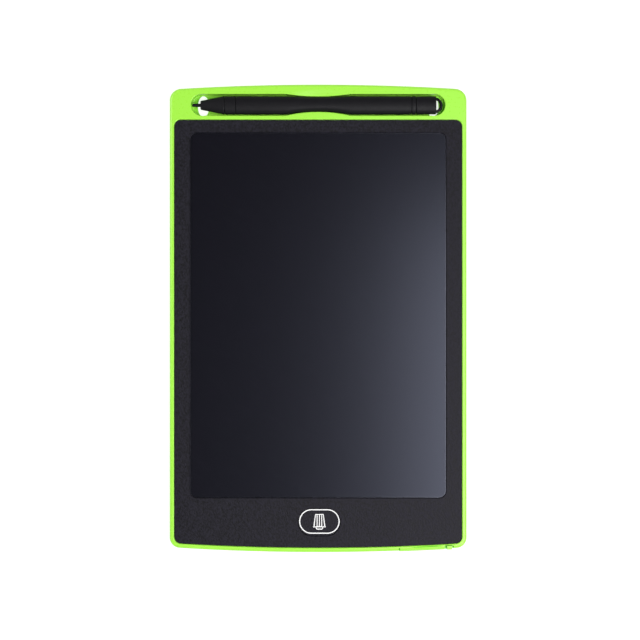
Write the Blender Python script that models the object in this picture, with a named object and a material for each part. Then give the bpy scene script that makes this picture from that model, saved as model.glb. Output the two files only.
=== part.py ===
"""A slim 8.5 inch LCD writing tablet with its stylus, lying on its back.

+Z points out of the screen, +Y towards the stylus rail and +X to the right. The origin is on the surface that the
tablet lies on, under the middle of its outline. All lengths are in metres.
"""

from math import asin, cos, pi, radians, sin
from typing import NamedTuple

import bmesh
import bpy
from mathutils import Vector

# Gaps and overlaps that the whole tablet shares
LAYER_GAP = 0.00005
FIT = 0.0002
OVERRUN = 0.001
JOIN = 0.0003

# The body's outline, seen from the front
BODY_WIDTH = 0.1438
BODY_LENGTH = 0.2265
EDGE_ARC = 1.103
TOP_CORNER = 0.0056
BOTTOM_CORNER = 0.0048
FRONT_FILLET = 0.0014
BACK_FILLET = 0.0010
FLOOR_THICKNESS = 0.0012
RIM_WIDTH = 0.0020

# Front panel and the ledge that it lies on
PANEL_CORNER = 0.0029
PANEL_THICKNESS = 0.0009
PANEL_RECESS = 0.0002
LEDGE_WIDTH = 0.0010
SIDE_BEZEL = 0.0080
TOP_BEZEL = 0.0065
DRAWER_TO_WINDOW = 0.0022
WINDOW_CORNER = 0.0024
WINDOW_CHAMFER = 0.0003

# Layers under the window, from the top down
TAPE_THICKNESS = 0.00015
TAPE_SETBACK = 0.0003
SCREEN_THICKNESS = 0.0007
SCREEN_LAP = 0.0025
SHEET_THICKNESS = 0.0003
SHEET_SETBACK = 0.0005
BOARD_THICKNESS = 0.0010
BOARD_LAP = 0.0010
BOARD_SETBACK = 0.0015
RIB_HEIGHT = 0.0008
RIB_WIDTH = 0.0008
LONG_RIBS = 4
CROSS_RIBS = 6

# Stylus, from its tip to its loop
STYLUS_WIDTH = 0.0088
STYLUS_HEIGHT = 0.0058
NIB_REACH = 0.00425
NIB_TIP_RADIUS = 0.00062
NIB_RADIUS = 0.00082
NIB_STEM = 0.0048
NIB_CLEARANCE = 0.0002
NOSE_FRONT_RADIUS = 0.00215
NOSE_LENGTH = 0.0115
NOSE_SHOULDER = 0.0006
SEAM = 0.0003
COLLAR_LENGTH = 0.00495
BAND_LENGTH = 0.0021
GROOVE_WIDTH = 0.0005
GROOVE_DEPTH = 0.0002
SPIGOT_LENGTH = 0.0030
SPIGOT_WIDTH = 0.0050
SPIGOT_HEIGHT = 0.0032
SPIGOT_CLEARANCE = 0.0002
TAIL_LENGTH = 0.00945
TAIL_FILLET = 0.0004
LOOP_REACH = 0.00325
LOOP_RADIUS = 0.0038
LOOP_BAR = 0.0012

# Trough in the top rail, and what is round it
TROUGH_INSET = 0.0044
RAIL_END = 0.01035
TROUGH_WALL = 0.0022
TROUGH_FLOOR = 0.0010
TROUGH_CHAMFER = 0.0006
TIP_ROOM = 0.00035
LOOP_ROOM = 0.00115
ROOM_BELOW_STYLUS = 0.00055
ROOM_ABOVE_STYLUS = 0.00095
STYLUS_LIFT = 0.00025
BULGE_LENGTH = 0.0312
UPPER_BULGE = 0.00145
LOWER_BULGE = 0.00175
WAIST_CLEARANCE = 0.00025
PUSH_HOLE_INSET = 0.00605
PUSH_HOLE_WIDTH = 0.0055
PUSH_HOLE_BITE = 0.0002
PUSH_HOLE_GAP = 0.0010
SCOOP_REACH = 0.0025
SCOOP_MARGIN = 0.0013
SCOOP_DEPTH = 0.0014

# Erase button and its switch
BUTTON_X = 0.0005
BUTTON_RAISE = 0.0004
BUTTON_LENGTH = 0.0206
BUTTON_WIDTH = 0.0131
BUTTON_GAP = 0.0002
BUTTON_PROUD = 0.0002
BUTTON_EDGE = 0.0002
FLANGE_WIDTH = 0.0009
FLANGE_THICKNESS = 0.00035
FLANGE_GAP = 0.0001
SWITCH_SIDE = 0.0046
SWITCH_HEIGHT = 0.0008
SWITCH_BORE_FLOOR = 0.00015
PLUNGER_RADIUS = 0.0009
PLUNGER_PROUD = 0.00045
PLUNGER_CLEARANCE = 0.0002
PRESS_TRAVEL = 0.0003

# Circuit board and the parts on it
CIRCUIT_REACH = 0.01385
CIRCUIT_THICKNESS = 0.0006
CIRCUIT_INSET = 0.0037
CIRCUIT_GAP = 0.0009
SCREW_INSET = 0.0023
SCREW_SHANK = 0.0006
SCREW_HEAD = 0.0012
SCREW_HEAD_HEIGHT = 0.0004
SCREW_REACH = 0.00125
SCREW_CLEARANCE = 0.0002
STANDOFF_RADIUS = 0.0018
CHIP_LENGTH = 0.0049
CHIP_WIDTH = 0.0039
CHIP_CLEARANCE = 0.00015
COIL_SIZE = (0.0032, 0.0032, 0.0012)
CAPACITOR_SIZE = (0.0018, 0.0010, 0.0009)
CAPACITOR_STEP = 0.0030
CONNECTOR_SIZE = (0.0070, 0.0022, 0.0008)
CONNECTOR_DROP = 0.0062
CHIP_X = 0.0100
CAPACITOR_X = 0.0151
COIL_X = 0.0203
FLEX_WIDTH = 0.0058
FLEX_THICKNESS = 0.00015
FLEX_REACH = 0.0010

# Coin cell and its drawer
DRAWER_SIDE = 0.0059
CELL_WALL = 0.00305
CELL_RADIUS = 0.0100
CELL_THICKNESS = 0.0016
CELL_CAP_RADIUS = 0.0088
CELL_CAP_HEIGHT = 0.0002
CELL_CLEARANCE = 0.0002
BAY_FLOOR = 0.0008
BAY_CLEARANCE = 0.00015
BAY_SIDE_GAP = 0.0003
GUIDE_WIDTH = 0.0012
TRAY_FLOOR = 0.0005
TRAY_WALL = 0.00075
TRAY_SLOT = 0.0060
TRAY_SLOT_REACH = 0.0040
FRONT_LIP = 0.00125
FRONT_DEPTH = 0.0024
FRONT_DROP = 0.0001
NAIL_GROOVE_LENGTH = 0.0120
NAIL_GROOVE_WIDTH = 0.0009
NAIL_GROOVE_DEPTH = 0.0004
NAIL_GROOVE_GAP = 0.0008
CONTACT_THICKNESS = 0.00015
CONTACT_GAP = 0.00012
CONTACT_WIDTH = 0.0040
CONTACT_FOOT = 0.0030
CONTACT_OVERLAP = 0.0080
CONTACT_STRIP = 0.0020
CONTACT_SETBACK = 0.0005

# Latch finger beside the drawer
LATCH_BEAM = 0.0012
LATCH_GAP = 0.0003
LATCH_NOTCH = 0.00115
LATCH_PAD_LEFT = 0.0020
LATCH_PAD_RIGHT = 0.0007
LATCH_PAD_DEPTH = 0.00075
LATCH_PAD_DROP = 0.00025
BARB_DEPTH = 0.0006
BARB_LENGTH = 0.0018
BARB_GAP = 0.0021
LUG_LENGTH = 0.0050
LATCH_SLIT_LEFT = 0.0011
LATCH_SLIT_RIGHT = 0.0008
LATCH_SLIT_TOP = 0.0004
LATCH_SLIT_CORNER = 0.0007

# Lock slider in the back, and the small switch that it works
LOCK_X = 0.0065
LOCK_TRAVEL = 0.0020
LOCK_PAD_LENGTH = 0.0060
LOCK_PAD_WIDTH = 0.0032
LOCK_PAD_RECESS = 0.0001
LOCK_RECESS_DEPTH = 0.0005
LOCK_RECESS_GAP = 0.0003
LOCK_NECK_LENGTH = 0.0020
LOCK_NECK_WIDTH = 0.0016
LOCK_LEVER_LENGTH = 0.0012
LOCK_LEVER_WIDTH = 0.0010
LOCK_LEVER_REACH = 0.0006
LOCK_BODY_LENGTH = 0.0066
LOCK_BODY_WIDTH = 0.0028
LOCK_EAR = 0.0009
LOCK_LIP = 0.0004
LOCK_BODY_HEIGHT = 0.00045
LOCK_BODY_DROP = 0.0003

# How finely the round shapes are divided
CORNER_STEPS = 5
EDGE_STEPS = 12
FILLET_STEPS = 3
END_STEPS = 7
BULGE_STEPS = 8
ROUND_SIDES = 20
CELL_SIDES = 32
OVAL_SIDES = 20
OVAL_POWER = 2.3
LOOP_STEPS = 8
LOOP_SIDES = 8

# Name, linear colour, roughness and metallic value of each finish
FINISHES = {
    "lime_plastic": ((0.43, 0.97, 0.10), 0.42, 0.0),
    "black_texture": ((0.022, 0.022, 0.027), 0.62, 0.0),
    "screen_film": ((0.010, 0.010, 0.014), 0.12, 0.0),
    "white_tape": ((0.75, 0.75, 0.72), 0.70, 0.0),
    "black_sheet": ((0.006, 0.006, 0.007), 0.80, 0.0),
    "grey_board": ((0.32, 0.31, 0.29), 0.90, 0.0),
    "green_circuit": ((0.010, 0.110, 0.045), 0.45, 0.0),
    "chip_black": ((0.012, 0.012, 0.013), 0.50, 0.0),
    "switch_black": ((0.020, 0.020, 0.022), 0.50, 0.0),
    "plunger_red": ((0.40, 0.030, 0.020), 0.45, 0.0),
    "cream_plastic": ((0.62, 0.56, 0.42), 0.55, 0.0),
    "amber_film": ((0.42, 0.17, 0.025), 0.35, 0.0),
    "ceramic_tan": ((0.36, 0.22, 0.12), 0.60, 0.0),
    "ferrite_grey": ((0.055, 0.055, 0.058), 0.60, 0.0),
    "spring_brass": ((0.72, 0.52, 0.24), 0.30, 1.0),
    "cell_steel": ((0.60, 0.60, 0.58), 0.26, 1.0),
    "screw_steel": ((0.50, 0.50, 0.50), 0.35, 1.0),
    "stylus_black": ((0.018, 0.018, 0.021), 0.48, 0.0),
}


class Edge(NamedTuple):
    """A rounded rectangle, even about x = 0, whose top and bottom may bow outwards. An arc of 0 is straight."""

    half_width: float
    top: float
    bottom: float
    top_corner: float
    bottom_corner: float
    top_arc: float = 0
    bottom_arc: float = 0


def inset(edge, by):
    """The same edge, moved inwards all round."""
    return Edge(
        edge.half_width - by,
        edge.top - by,
        edge.bottom + by,
        edge.top_corner - by,
        edge.bottom_corner - by,
        edge.top_arc and edge.top_arc - by,
        edge.bottom_arc and edge.bottom_arc - by,
    )


# Places that follow from the sizes above
HALF_LENGTH = BODY_LENGTH / 2
RIB_TOP = FLOOR_THICKNESS + RIB_HEIGHT
BOARD_BOTTOM = RIB_TOP + LAYER_GAP
SHEET_BOTTOM = BOARD_BOTTOM + BOARD_THICKNESS + LAYER_GAP
SCREEN_BOTTOM = SHEET_BOTTOM + SHEET_THICKNESS + LAYER_GAP
TAPE_BOTTOM = SCREEN_BOTTOM + SCREEN_THICKNESS + LAYER_GAP
PANEL_UNDERSIDE = TAPE_BOTTOM + TAPE_THICKNESS + LAYER_GAP
BODY_THICKNESS = PANEL_UNDERSIDE + PANEL_THICKNESS + PANEL_RECESS

TROUGH_WIDTH = STYLUS_WIDTH + ROOM_BELOW_STYLUS + ROOM_ABOVE_STYLUS
TROUGH_TOP = HALF_LENGTH - TROUGH_INSET
TROUGH_BOTTOM = TROUGH_TOP - TROUGH_WIDTH
TROUGH_END = BODY_WIDTH / 2 - RAIL_END
STYLUS_Y = TROUGH_BOTTOM + ROOM_BELOW_STYLUS + STYLUS_WIDTH / 2
STYLUS_Z = TROUGH_FLOOR + STYLUS_LIFT + STYLUS_HEIGHT / 2
NOSE_FRONT = TIP_ROOM + NIB_REACH - TROUGH_END
NOSE_END = NOSE_FRONT + NOSE_LENGTH
BARREL_START = NOSE_END + SEAM
TAIL_END = TROUGH_END - LOOP_ROOM - LOOP_REACH
TAIL_START = TAIL_END - TAIL_LENGTH
BARREL_END = TAIL_START - SEAM

BODY_EDGE = Edge(BODY_WIDTH / 2, HALF_LENGTH, -HALF_LENGTH, TOP_CORNER, BOTTOM_CORNER, EDGE_ARC, EDGE_ARC)
POCKET_EDGE = Edge(
    BODY_WIDTH / 2 - RIM_WIDTH,
    TROUGH_BOTTOM - TROUGH_WALL,
    RIM_WIDTH - HALF_LENGTH,
    PANEL_CORNER,
    PANEL_CORNER,
    0,
    EDGE_ARC - RIM_WIDTH,
)

TRAY_BASE = BAY_FLOOR + BAY_CLEARANCE
CELL_BASE = TRAY_BASE + TRAY_FLOOR + LAYER_GAP
CELL_TOP = CELL_BASE + CELL_THICKNESS
TRAY_TOP = CELL_TOP - LAYER_GAP
TRAY_HALF = CELL_RADIUS + CELL_CLEARANCE + TRAY_WALL
CELL_Y = CELL_WALL + CELL_CLEARANCE + CELL_RADIUS - HALF_LENGTH
TRAY_END = CELL_Y + TRAY_HALF
OPENING_RIGHT = BODY_WIDTH / 2 - DRAWER_SIDE
LATCH_X = OPENING_RIGHT - LATCH_SLIT_RIGHT - LATCH_PAD_RIGHT
LATCH_Y = TRAY_END - LUG_LENGTH - LATCH_GAP - LATCH_BEAM / 2
FRONT_RIGHT = LATCH_X - LATCH_PAD_LEFT - LATCH_SLIT_LEFT
CELL_X = FRONT_RIGHT + LATCH_NOTCH - TRAY_HALF
FRONT_LEFT = CELL_X - TRAY_HALF - FRONT_LIP
FRONT_TOP = BODY_THICKNESS - FRONT_FILLET - FRONT_DROP
FRONT_BACK = RIM_WIDTH + FRONT_DEPTH - HALF_LENGTH
BAY_LEFT = CELL_X - TRAY_HALF - BAY_SIDE_GAP
BAY_RIGHT = LATCH_X + LATCH_BEAM / 2 + BAY_SIDE_GAP
BAY_END = TRAY_END + CONTACT_SETBACK + CONTACT_THICKNESS + BAY_SIDE_GAP
OPENING_BACK = FRONT_BACK + OVERRUN
PAD_BACK = POCKET_EDGE.bottom + LATCH_PAD_DEPTH
BARB_START = FRONT_BACK + BARB_GAP

WINDOW_EDGE = Edge(
    POCKET_EDGE.half_width - SIDE_BEZEL,
    POCKET_EDGE.top - TOP_BEZEL,
    TRAY_END + DRAWER_TO_WINDOW,
    WINDOW_CORNER,
    WINDOW_CORNER,
)
SCREEN_EDGE = inset(WINDOW_EDGE, -SCREEN_LAP)
BEZEL_MIDDLE = (WINDOW_EDGE.bottom + POCKET_EDGE.bottom) / 2

BUTTON_Y = BEZEL_MIDDLE + BUTTON_RAISE
CAP_TOP = PANEL_UNDERSIDE + PANEL_THICKNESS + BUTTON_PROUD
FLANGE_TOP = PANEL_UNDERSIDE - FLANGE_GAP
CAP_BOTTOM = FLANGE_TOP - FLANGE_THICKNESS
PLUNGER_TOP = CAP_BOTTOM - LAYER_GAP
SWITCH_TOP = PLUNGER_TOP - PLUNGER_PROUD
CIRCUIT_TOP = SWITCH_TOP - SWITCH_HEIGHT - LAYER_GAP
CIRCUIT_UNDERSIDE = CIRCUIT_TOP - CIRCUIT_THICKNESS
PART_BASE = CIRCUIT_TOP + LAYER_GAP
CHIP_HEIGHT = CAP_BOTTOM - PRESS_TRAVEL - CHIP_CLEARANCE - PART_BASE

CIRCUIT_LEFT = BUTTON_X - CIRCUIT_REACH
CIRCUIT_RIGHT = BAY_LEFT - GUIDE_WIDTH - BAY_SIDE_GAP
CIRCUIT_LOW = POCKET_EDGE.bottom + CIRCUIT_INSET
CIRCUIT_HIGH = WINDOW_EDGE.bottom + BOARD_SETBACK - CIRCUIT_GAP
LOCK_CENTRE = (CIRCUIT_LEFT + LOCK_X, BEZEL_MIDDLE)
LOCK_BODY_BASE = CIRCUIT_UNDERSIDE - LOCK_BODY_DROP


def spread(start, end, steps):
    """Evenly spaced values from start to end, both included."""
    return [start + (end - start) * step / steps for step in range(steps + 1)]


def arc(x, y, radius, start, end, steps):
    """Points along a circle's arc."""
    return [(x + radius * cos(turn), y + radius * sin(turn)) for turn in spread(start, end, steps)]


def corner(half_width, radius, edge_arc):
    """How far round an edge's arc its corner starts, and how deep the corner's centre lies under the crown."""
    if not edge_arc:
        return 0, radius
    turn = asin((half_width - radius) / (edge_arc - radius))
    return turn, edge_arc - (edge_arc - radius) * cos(turn)


def outline(edge):
    """The points of an edge, anticlockwise."""
    low_turn, low_depth = corner(edge.half_width, edge.bottom_corner, edge.bottom_arc)
    high_turn, high_depth = corner(edge.half_width, edge.top_corner, edge.top_arc)
    low_x = edge.half_width - edge.bottom_corner
    high_x = edge.half_width - edge.top_corner
    right = arc(low_x, edge.bottom + low_depth, edge.bottom_corner, low_turn - pi / 2, 0, CORNER_STEPS)
    right += arc(high_x, edge.top - high_depth, edge.top_corner, 0, pi / 2 - high_turn, CORNER_STEPS)
    left = [(-x, y) for x, y in reversed(right)]
    below, above = [], []
    if edge.bottom_arc:
        centre = edge.bottom + edge.bottom_arc
        start = -pi / 2 - low_turn
        below = arc(0, centre, edge.bottom_arc, start, start + 2 * low_turn, EDGE_STEPS)[1:-1]
    if edge.top_arc:
        centre = edge.top - edge.top_arc
        start = pi / 2 - high_turn
        above = arc(0, centre, edge.top_arc, start, start + 2 * high_turn, EDGE_STEPS)[1:-1]
    return below + right + above + left


def moved(points, x, y):
    return [(px + x, py + y) for px, py in points]


def ellipse(length, width, steps):
    return [(length / 2 * cos(turn), width / 2 * sin(turn)) for turn in spread(0, 2 * pi, steps)[:-1]]


def circle(radius, steps=ROUND_SIDES):
    return ellipse(2 * radius, 2 * radius, steps)


def stadium(length, width):
    """A slot with round ends, along X."""
    radius = width / 2
    reach = length / 2 - radius
    right = arc(reach, 0, radius, -pi / 2, pi / 2, END_STEPS)
    return right + [(-x, -y) for x, y in right]


def rectangle(x_low, x_high, y_low, y_high):
    return [(x_low, y_low), (x_high, y_low), (x_high, y_high), (x_low, y_high)]


def level(points, z):
    return [(x, y, z) for x, y in points]


def prism(points, low, high):
    """The rings of an upright solid."""
    return [level(points, low), level(points, high)]


def block(x_low, x_high, y_low, y_high, z_low, z_high):
    """The rings of a box."""
    return prism(rectangle(x_low, x_high, y_low, y_high), z_low, z_high)


def centred_block(size):
    """The rings of a box that stands on its middle."""
    length, width, height = size
    return block(-length / 2, length / 2, -width / 2, width / 2, 0, height)


def profile_along_x(points, length):
    """The rings of a profile in the YZ plane, carried along X about its middle."""
    return [[(x, y, z) for y, z in points] for x in (-length / 2, length / 2)]


def profile_along_y(points, length):
    """The rings of a profile in the XZ plane, carried along Y about its middle."""
    return [[(x, y, z) for x, z in points] for y in (-length / 2, length / 2)]


def wall_levels(low, high, low_fillet, high_fillet):
    """Heights up a wall with rounded ends, each with how far the wall is drawn in there."""
    turns = spread(0, pi / 2, FILLET_STEPS)
    lower = [(low + low_fillet * (1 - cos(turn)), low_fillet * (1 - sin(turn))) for turn in turns]
    upper = [(high - high_fillet * (1 - sin(turn)), high_fillet * (1 - cos(turn))) for turn in turns]
    return lower + upper


def mesh_of(name, lofts):
    """A mesh of closed solids, each a loft through rings of equally many points."""
    shape = bmesh.new()
    for rings in lofts:
        loops = [[shape.verts.new(point) for point in ring] for ring in rings]
        count = len(loops[0])
        for first, second in zip(loops, loops[1:]):
            for index in range(count):
                after = (index + 1) % count
                shape.faces.new((first[index], first[after], second[after], second[index]))
        shape.faces.new(reversed(loops[0]))
        shape.faces.new(loops[-1])
    bmesh.ops.recalc_face_normals(shape, faces=shape.faces)
    mesh = bpy.data.meshes.new(name)
    shape.to_mesh(mesh)
    shape.free()
    return mesh


def finish_of(name):
    """The material of a finish, made when it is first asked for."""
    if name in bpy.data.materials:
        return bpy.data.materials[name]
    colour, roughness, metallic = FINISHES[name]
    material = bpy.data.materials.new(name)
    material.use_nodes = True
    shader = material.node_tree.nodes["Principled BSDF"]
    shader.inputs["Base Color"].default_value = (*colour, 1)
    shader.inputs["Roughness"].default_value = roughness
    shader.inputs["Metallic"].default_value = metallic
    material.diffuse_color = (*colour, 1)
    return material


def add_object(name, mesh, place, carrier=None):
    """Puts a mesh in the scene at a place in the tablet's frame, riding on a carrier if it has one."""
    piece = bpy.data.objects.new(name, mesh)
    bpy.context.scene.collection.objects.link(piece)
    piece.parent = carrier
    start = Vector(place)
    while carrier:
        start -= carrier.location
        carrier = carrier.parent
    piece.location = start
    return piece


def add_piece(name, finish, place, *lofts, carrier=None):
    mesh = mesh_of(name, lofts)
    mesh.shade_smooth()
    mesh.set_sharp_from_angle(angle=radians(30))
    mesh.materials.append(finish_of(finish))
    return add_object(name, mesh, place, carrier)


def add_axis(name, place, carrier=None):
    """An empty on a moving piece's axis."""
    return add_object(name, None, place, carrier)


def add_tool(name, *lofts, place=(0, 0, 0)):
    """A shape that only cuts, joins or bounds other pieces, and so isn't rendered."""
    shape = add_object(name, mesh_of(name, lofts), place)
    shape.hide_render = True
    shape.display_type = "WIRE"
    return shape


def combine(piece, tool, operation):
    modifier = piece.modifiers.new(tool.name, "BOOLEAN")
    modifier.operation = operation
    modifier.object = tool


def cut(piece, name, *lofts, place=(0, 0, 0)):
    combine(piece, add_tool(name, *lofts, place=place), "DIFFERENCE")


def join(piece, name, *lofts, place=(0, 0, 0)):
    combine(piece, add_tool(name, *lofts, place=place), "UNION")


def body_form():
    """The rings of the whole body's outside, before anything is cut from it."""
    levels = wall_levels(0, BODY_THICKNESS, BACK_FILLET, FRONT_FILLET)
    return [level(outline(inset(BODY_EDGE, drawn)), z) for z, drawn in levels]


def trough_outline(grown):
    """The stylus trough seen from the front, with a bulge in the middle of each long wall."""
    top = TROUGH_TOP + grown
    bottom = TROUGH_BOTTOM - grown
    middle = (top + bottom) / 2
    radius = (top - bottom) / 2
    reach = TROUGH_END + grown - radius
    right = arc(reach, middle, radius, -pi / 2, pi / 2, END_STEPS)
    left = arc(-reach, middle, radius, pi / 2, 3 * pi / 2, END_STEPS)
    return right + bulge(top, UPPER_BULGE, 1) + left + bulge(bottom, LOWER_BULGE, -1)


def bulge(wall, depth, side):
    """The arc by which a long wall of the trough stands inwards. side is 1 on the upper wall, -1 on the lower."""
    half = BULGE_LENGTH / 2
    radius = (half**2 + depth**2) / (2 * depth)
    turn = asin(half / radius)
    middle = -side * pi / 2
    return arc(0, wall + side * (radius - depth), radius, middle + turn, middle - turn, BULGE_STEPS)


def cut_trough(shell):
    """The stylus trough, its push-out holes and the dish for a fingertip above the stylus's waist."""
    top = BODY_THICKNESS
    levels = ((TROUGH_FLOOR, 0), (top - TROUGH_CHAMFER, 0), (top, TROUGH_CHAMFER), (top + OVERRUN, TROUGH_CHAMFER))
    cut(shell, "trough_form", [level(trough_outline(grown), z) for z, grown in levels])
    hole_length = TROUGH_WIDTH + PUSH_HOLE_BITE - PUSH_HOLE_GAP
    hole = ellipse(PUSH_HOLE_WIDTH, hole_length, ROUND_SIDES)
    hole_x = TROUGH_END - PUSH_HOLE_INSET
    hole_y = TROUGH_BOTTOM - PUSH_HOLE_BITE + hole_length / 2
    holes = [prism(moved(hole, x, hole_y), -OVERRUN, top + OVERRUN) for x in (-hole_x, hole_x)]
    cut(shell, "push_hole_forms", *holes)
    dish = bowl(BULGE_LENGTH + 2 * SCOOP_MARGIN, 2 * (UPPER_BULGE + SCOOP_REACH), SCOOP_DEPTH)
    cut(shell, "finger_dish_form", dish, place=(0, TROUGH_TOP - UPPER_BULGE, top))


def bowl(length, width, depth):
    """The rings of a shallow bowl, with its rim a little above the origin."""
    turns = spread(pi / 2 / FILLET_STEPS / 2, pi / 2, FILLET_STEPS)
    rings = [level(ellipse(length * sin(turn), width * sin(turn), ROUND_SIDES), -depth * cos(turn)) for turn in turns]
    return rings + [level(ellipse(length, width, ROUND_SIDES), OVERRUN)]


def join_ribs(shell):
    """The grid of low ribs that carries the support board."""
    low = FLOOR_THICKNESS - JOIN
    pocket = inset(POCKET_EDGE, LEDGE_WIDTH - JOIN)
    left = -WINDOW_EDGE.half_width
    step = 2 * WINDOW_EDGE.half_width / (LONG_RIBS - 1)
    bottom = WINDOW_EDGE.bottom + BOARD_SETBACK + RIB_WIDTH
    half = RIB_WIDTH / 2
    middles = [left + step * index for index in range(LONG_RIBS)]
    long_ribs = [block(x - half, x + half, bottom, pocket.top, low, RIB_TOP) for x in middles]
    join(shell, "long_rib_forms", *long_ribs)
    heights = spread(bottom, WINDOW_EDGE.top, CROSS_RIBS - 1)
    reach = pocket.half_width
    cross_ribs = [block(-reach, reach, y - half, y + half, low, RIB_TOP) for y in heights]
    join(shell, "cross_rib_forms", *cross_ribs)


def join_drawer_guides(shell):
    """The two low walls that the battery drawer slides between."""
    low = FLOOR_THICKNESS - JOIN
    front = FRONT_BACK - OVERRUN
    left = block(BAY_LEFT - GUIDE_WIDTH, BAY_LEFT, front, TRAY_END, low, TRAY_TOP)
    right = block(BAY_RIGHT, BAY_RIGHT + GUIDE_WIDTH, front, TRAY_END, low, TRAY_TOP)
    join(shell, "drawer_guide_forms", left, right)


def cut_battery_bay(shell):
    """The opening in the bottom wall, the lowered floor, the barb's groove and the slit round the latch pad."""
    outside = -HALF_LENGTH - OVERRUN
    top = FRONT_TOP + FIT
    cut(
        shell,
        "drawer_opening_form",
        block(FRONT_LEFT - FIT, OPENING_RIGHT, outside, OPENING_BACK, BAY_FLOOR, top),
    )
    cut(
        shell,
        "bay_floor_form",
        block(BAY_LEFT, BAY_RIGHT, OPENING_BACK - OVERRUN, BAY_END, BAY_FLOOR, FLOOR_THICKNESS + JOIN),
    )
    barb_end = BARB_START + BARB_LENGTH + LATCH_GAP
    cut(
        shell,
        "barb_groove_form",
        block(BAY_RIGHT - JOIN, OPENING_RIGHT, OPENING_BACK - OVERRUN, barb_end, BAY_FLOOR, TRAY_TOP + OVERRUN),
    )
    half = (OPENING_RIGHT - FRONT_RIGHT) / 2
    slit = Edge(half, PAD_BACK + LATCH_SLIT_TOP, outside, LATCH_SLIT_CORNER, LATCH_SLIT_CORNER)
    slit_points = moved(outline(slit), FRONT_RIGHT + half, 0)
    cut(shell, "latch_slit_form", prism(slit_points, top - JOIN, BODY_THICKNESS + OVERRUN))
    groove_x = FRONT_RIGHT - NAIL_GROOVE_GAP - NAIL_GROOVE_LENGTH / 2
    groove_y = PAD_BACK + LATCH_SLIT_TOP / 2
    groove = bowl(NAIL_GROOVE_LENGTH, NAIL_GROOVE_WIDTH, NAIL_GROOVE_DEPTH)
    cut(shell, "nail_groove_form", groove, place=(groove_x, groove_y, BODY_THICKNESS))


def screw_places():
    """The three corners of the circuit board that are screwed down."""
    left = CIRCUIT_LEFT + SCREW_INSET
    right = CIRCUIT_RIGHT - SCREW_INSET
    low = CIRCUIT_LOW + SCREW_INSET
    return ((left, low), (right, low), (left, CIRCUIT_HIGH - SCREW_INSET))


def build_rear_shell():
    """The lime shell: floor, rim, stylus rail, ribs, standoffs, drawer bay and the lock slider's recess."""
    shell = add_piece("rear_shell", "lime_plastic", (0, 0, 0), body_form())
    top = BODY_THICKNESS + OVERRUN
    cut(shell, "panel_recess_form", prism(outline(POCKET_EDGE), PANEL_UNDERSIDE - LAYER_GAP, top))
    cut(shell, "inner_pocket_form", prism(outline(inset(POCKET_EDGE, LEDGE_WIDTH)), FLOOR_THICKNESS, top))
    join_ribs(shell)
    join_drawer_guides(shell)
    low = FLOOR_THICKNESS - JOIN
    standoff_top = CIRCUIT_UNDERSIDE - LAYER_GAP
    standoffs = [prism(moved(circle(STANDOFF_RADIUS), x, y), low, standoff_top) for x, y in screw_places()]
    join(shell, "standoff_forms", *standoffs)
    bore_floor = PART_BASE - SCREW_REACH - CIRCUIT_THICKNESS - SCREW_CLEARANCE
    bore = circle(SCREW_SHANK + SCREW_CLEARANCE)
    bores = [prism(moved(bore, x, y), bore_floor, standoff_top + OVERRUN) for x, y in screw_places()]
    cut(shell, "standoff_bore_forms", *bores)
    cut_trough(shell)
    cut_battery_bay(shell)
    cut_lock_recess(shell)
    return shell


def cut_lock_recess(shell):
    """A shallow recess in the back for the lock slider's pad, and the slot for its neck."""
    x, y = LOCK_CENTRE
    middle = (x + LOCK_TRAVEL / 2, y, 0)
    recess = stadium(LOCK_PAD_LENGTH + LOCK_TRAVEL + 2 * LOCK_RECESS_GAP, LOCK_PAD_WIDTH + 2 * LOCK_RECESS_GAP)
    cut(shell, "lock_recess_form", prism(recess, -OVERRUN, LOCK_RECESS_DEPTH), place=middle)
    half_length = (LOCK_NECK_LENGTH + LOCK_TRAVEL) / 2 + FIT
    half_width = LOCK_NECK_WIDTH / 2 + FIT
    slot = block(-half_length, half_length, -half_width, half_width, 0, FLOOR_THICKNESS + JOIN)
    cut(shell, "lock_slot_form", slot, place=middle)


def build_front_panel():
    """The black front panel, with the window's chamfered edge and the button's hole."""
    panel = add_piece(
        "front_panel",
        "black_texture",
        (0, 0, PANEL_UNDERSIDE),
        prism(outline(inset(POCKET_EDGE, FIT)), 0, PANEL_THICKNESS),
    )
    top = PANEL_UNDERSIDE + PANEL_THICKNESS
    levels = (
        (PANEL_UNDERSIDE - OVERRUN, 0),
        (top - WINDOW_CHAMFER, 0),
        (top, WINDOW_CHAMFER),
        (top + OVERRUN, WINDOW_CHAMFER),
    )
    cut(panel, "window_form", [level(outline(inset(WINDOW_EDGE, -grown)), z) for z, grown in levels])
    hole = stadium(BUTTON_LENGTH + 2 * BUTTON_GAP, BUTTON_WIDTH + 2 * BUTTON_GAP)
    hole = moved(hole, BUTTON_X, BUTTON_Y)
    cut(panel, "button_hole_form", prism(hole, PANEL_UNDERSIDE - OVERRUN, top + OVERRUN))
    return panel


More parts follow.
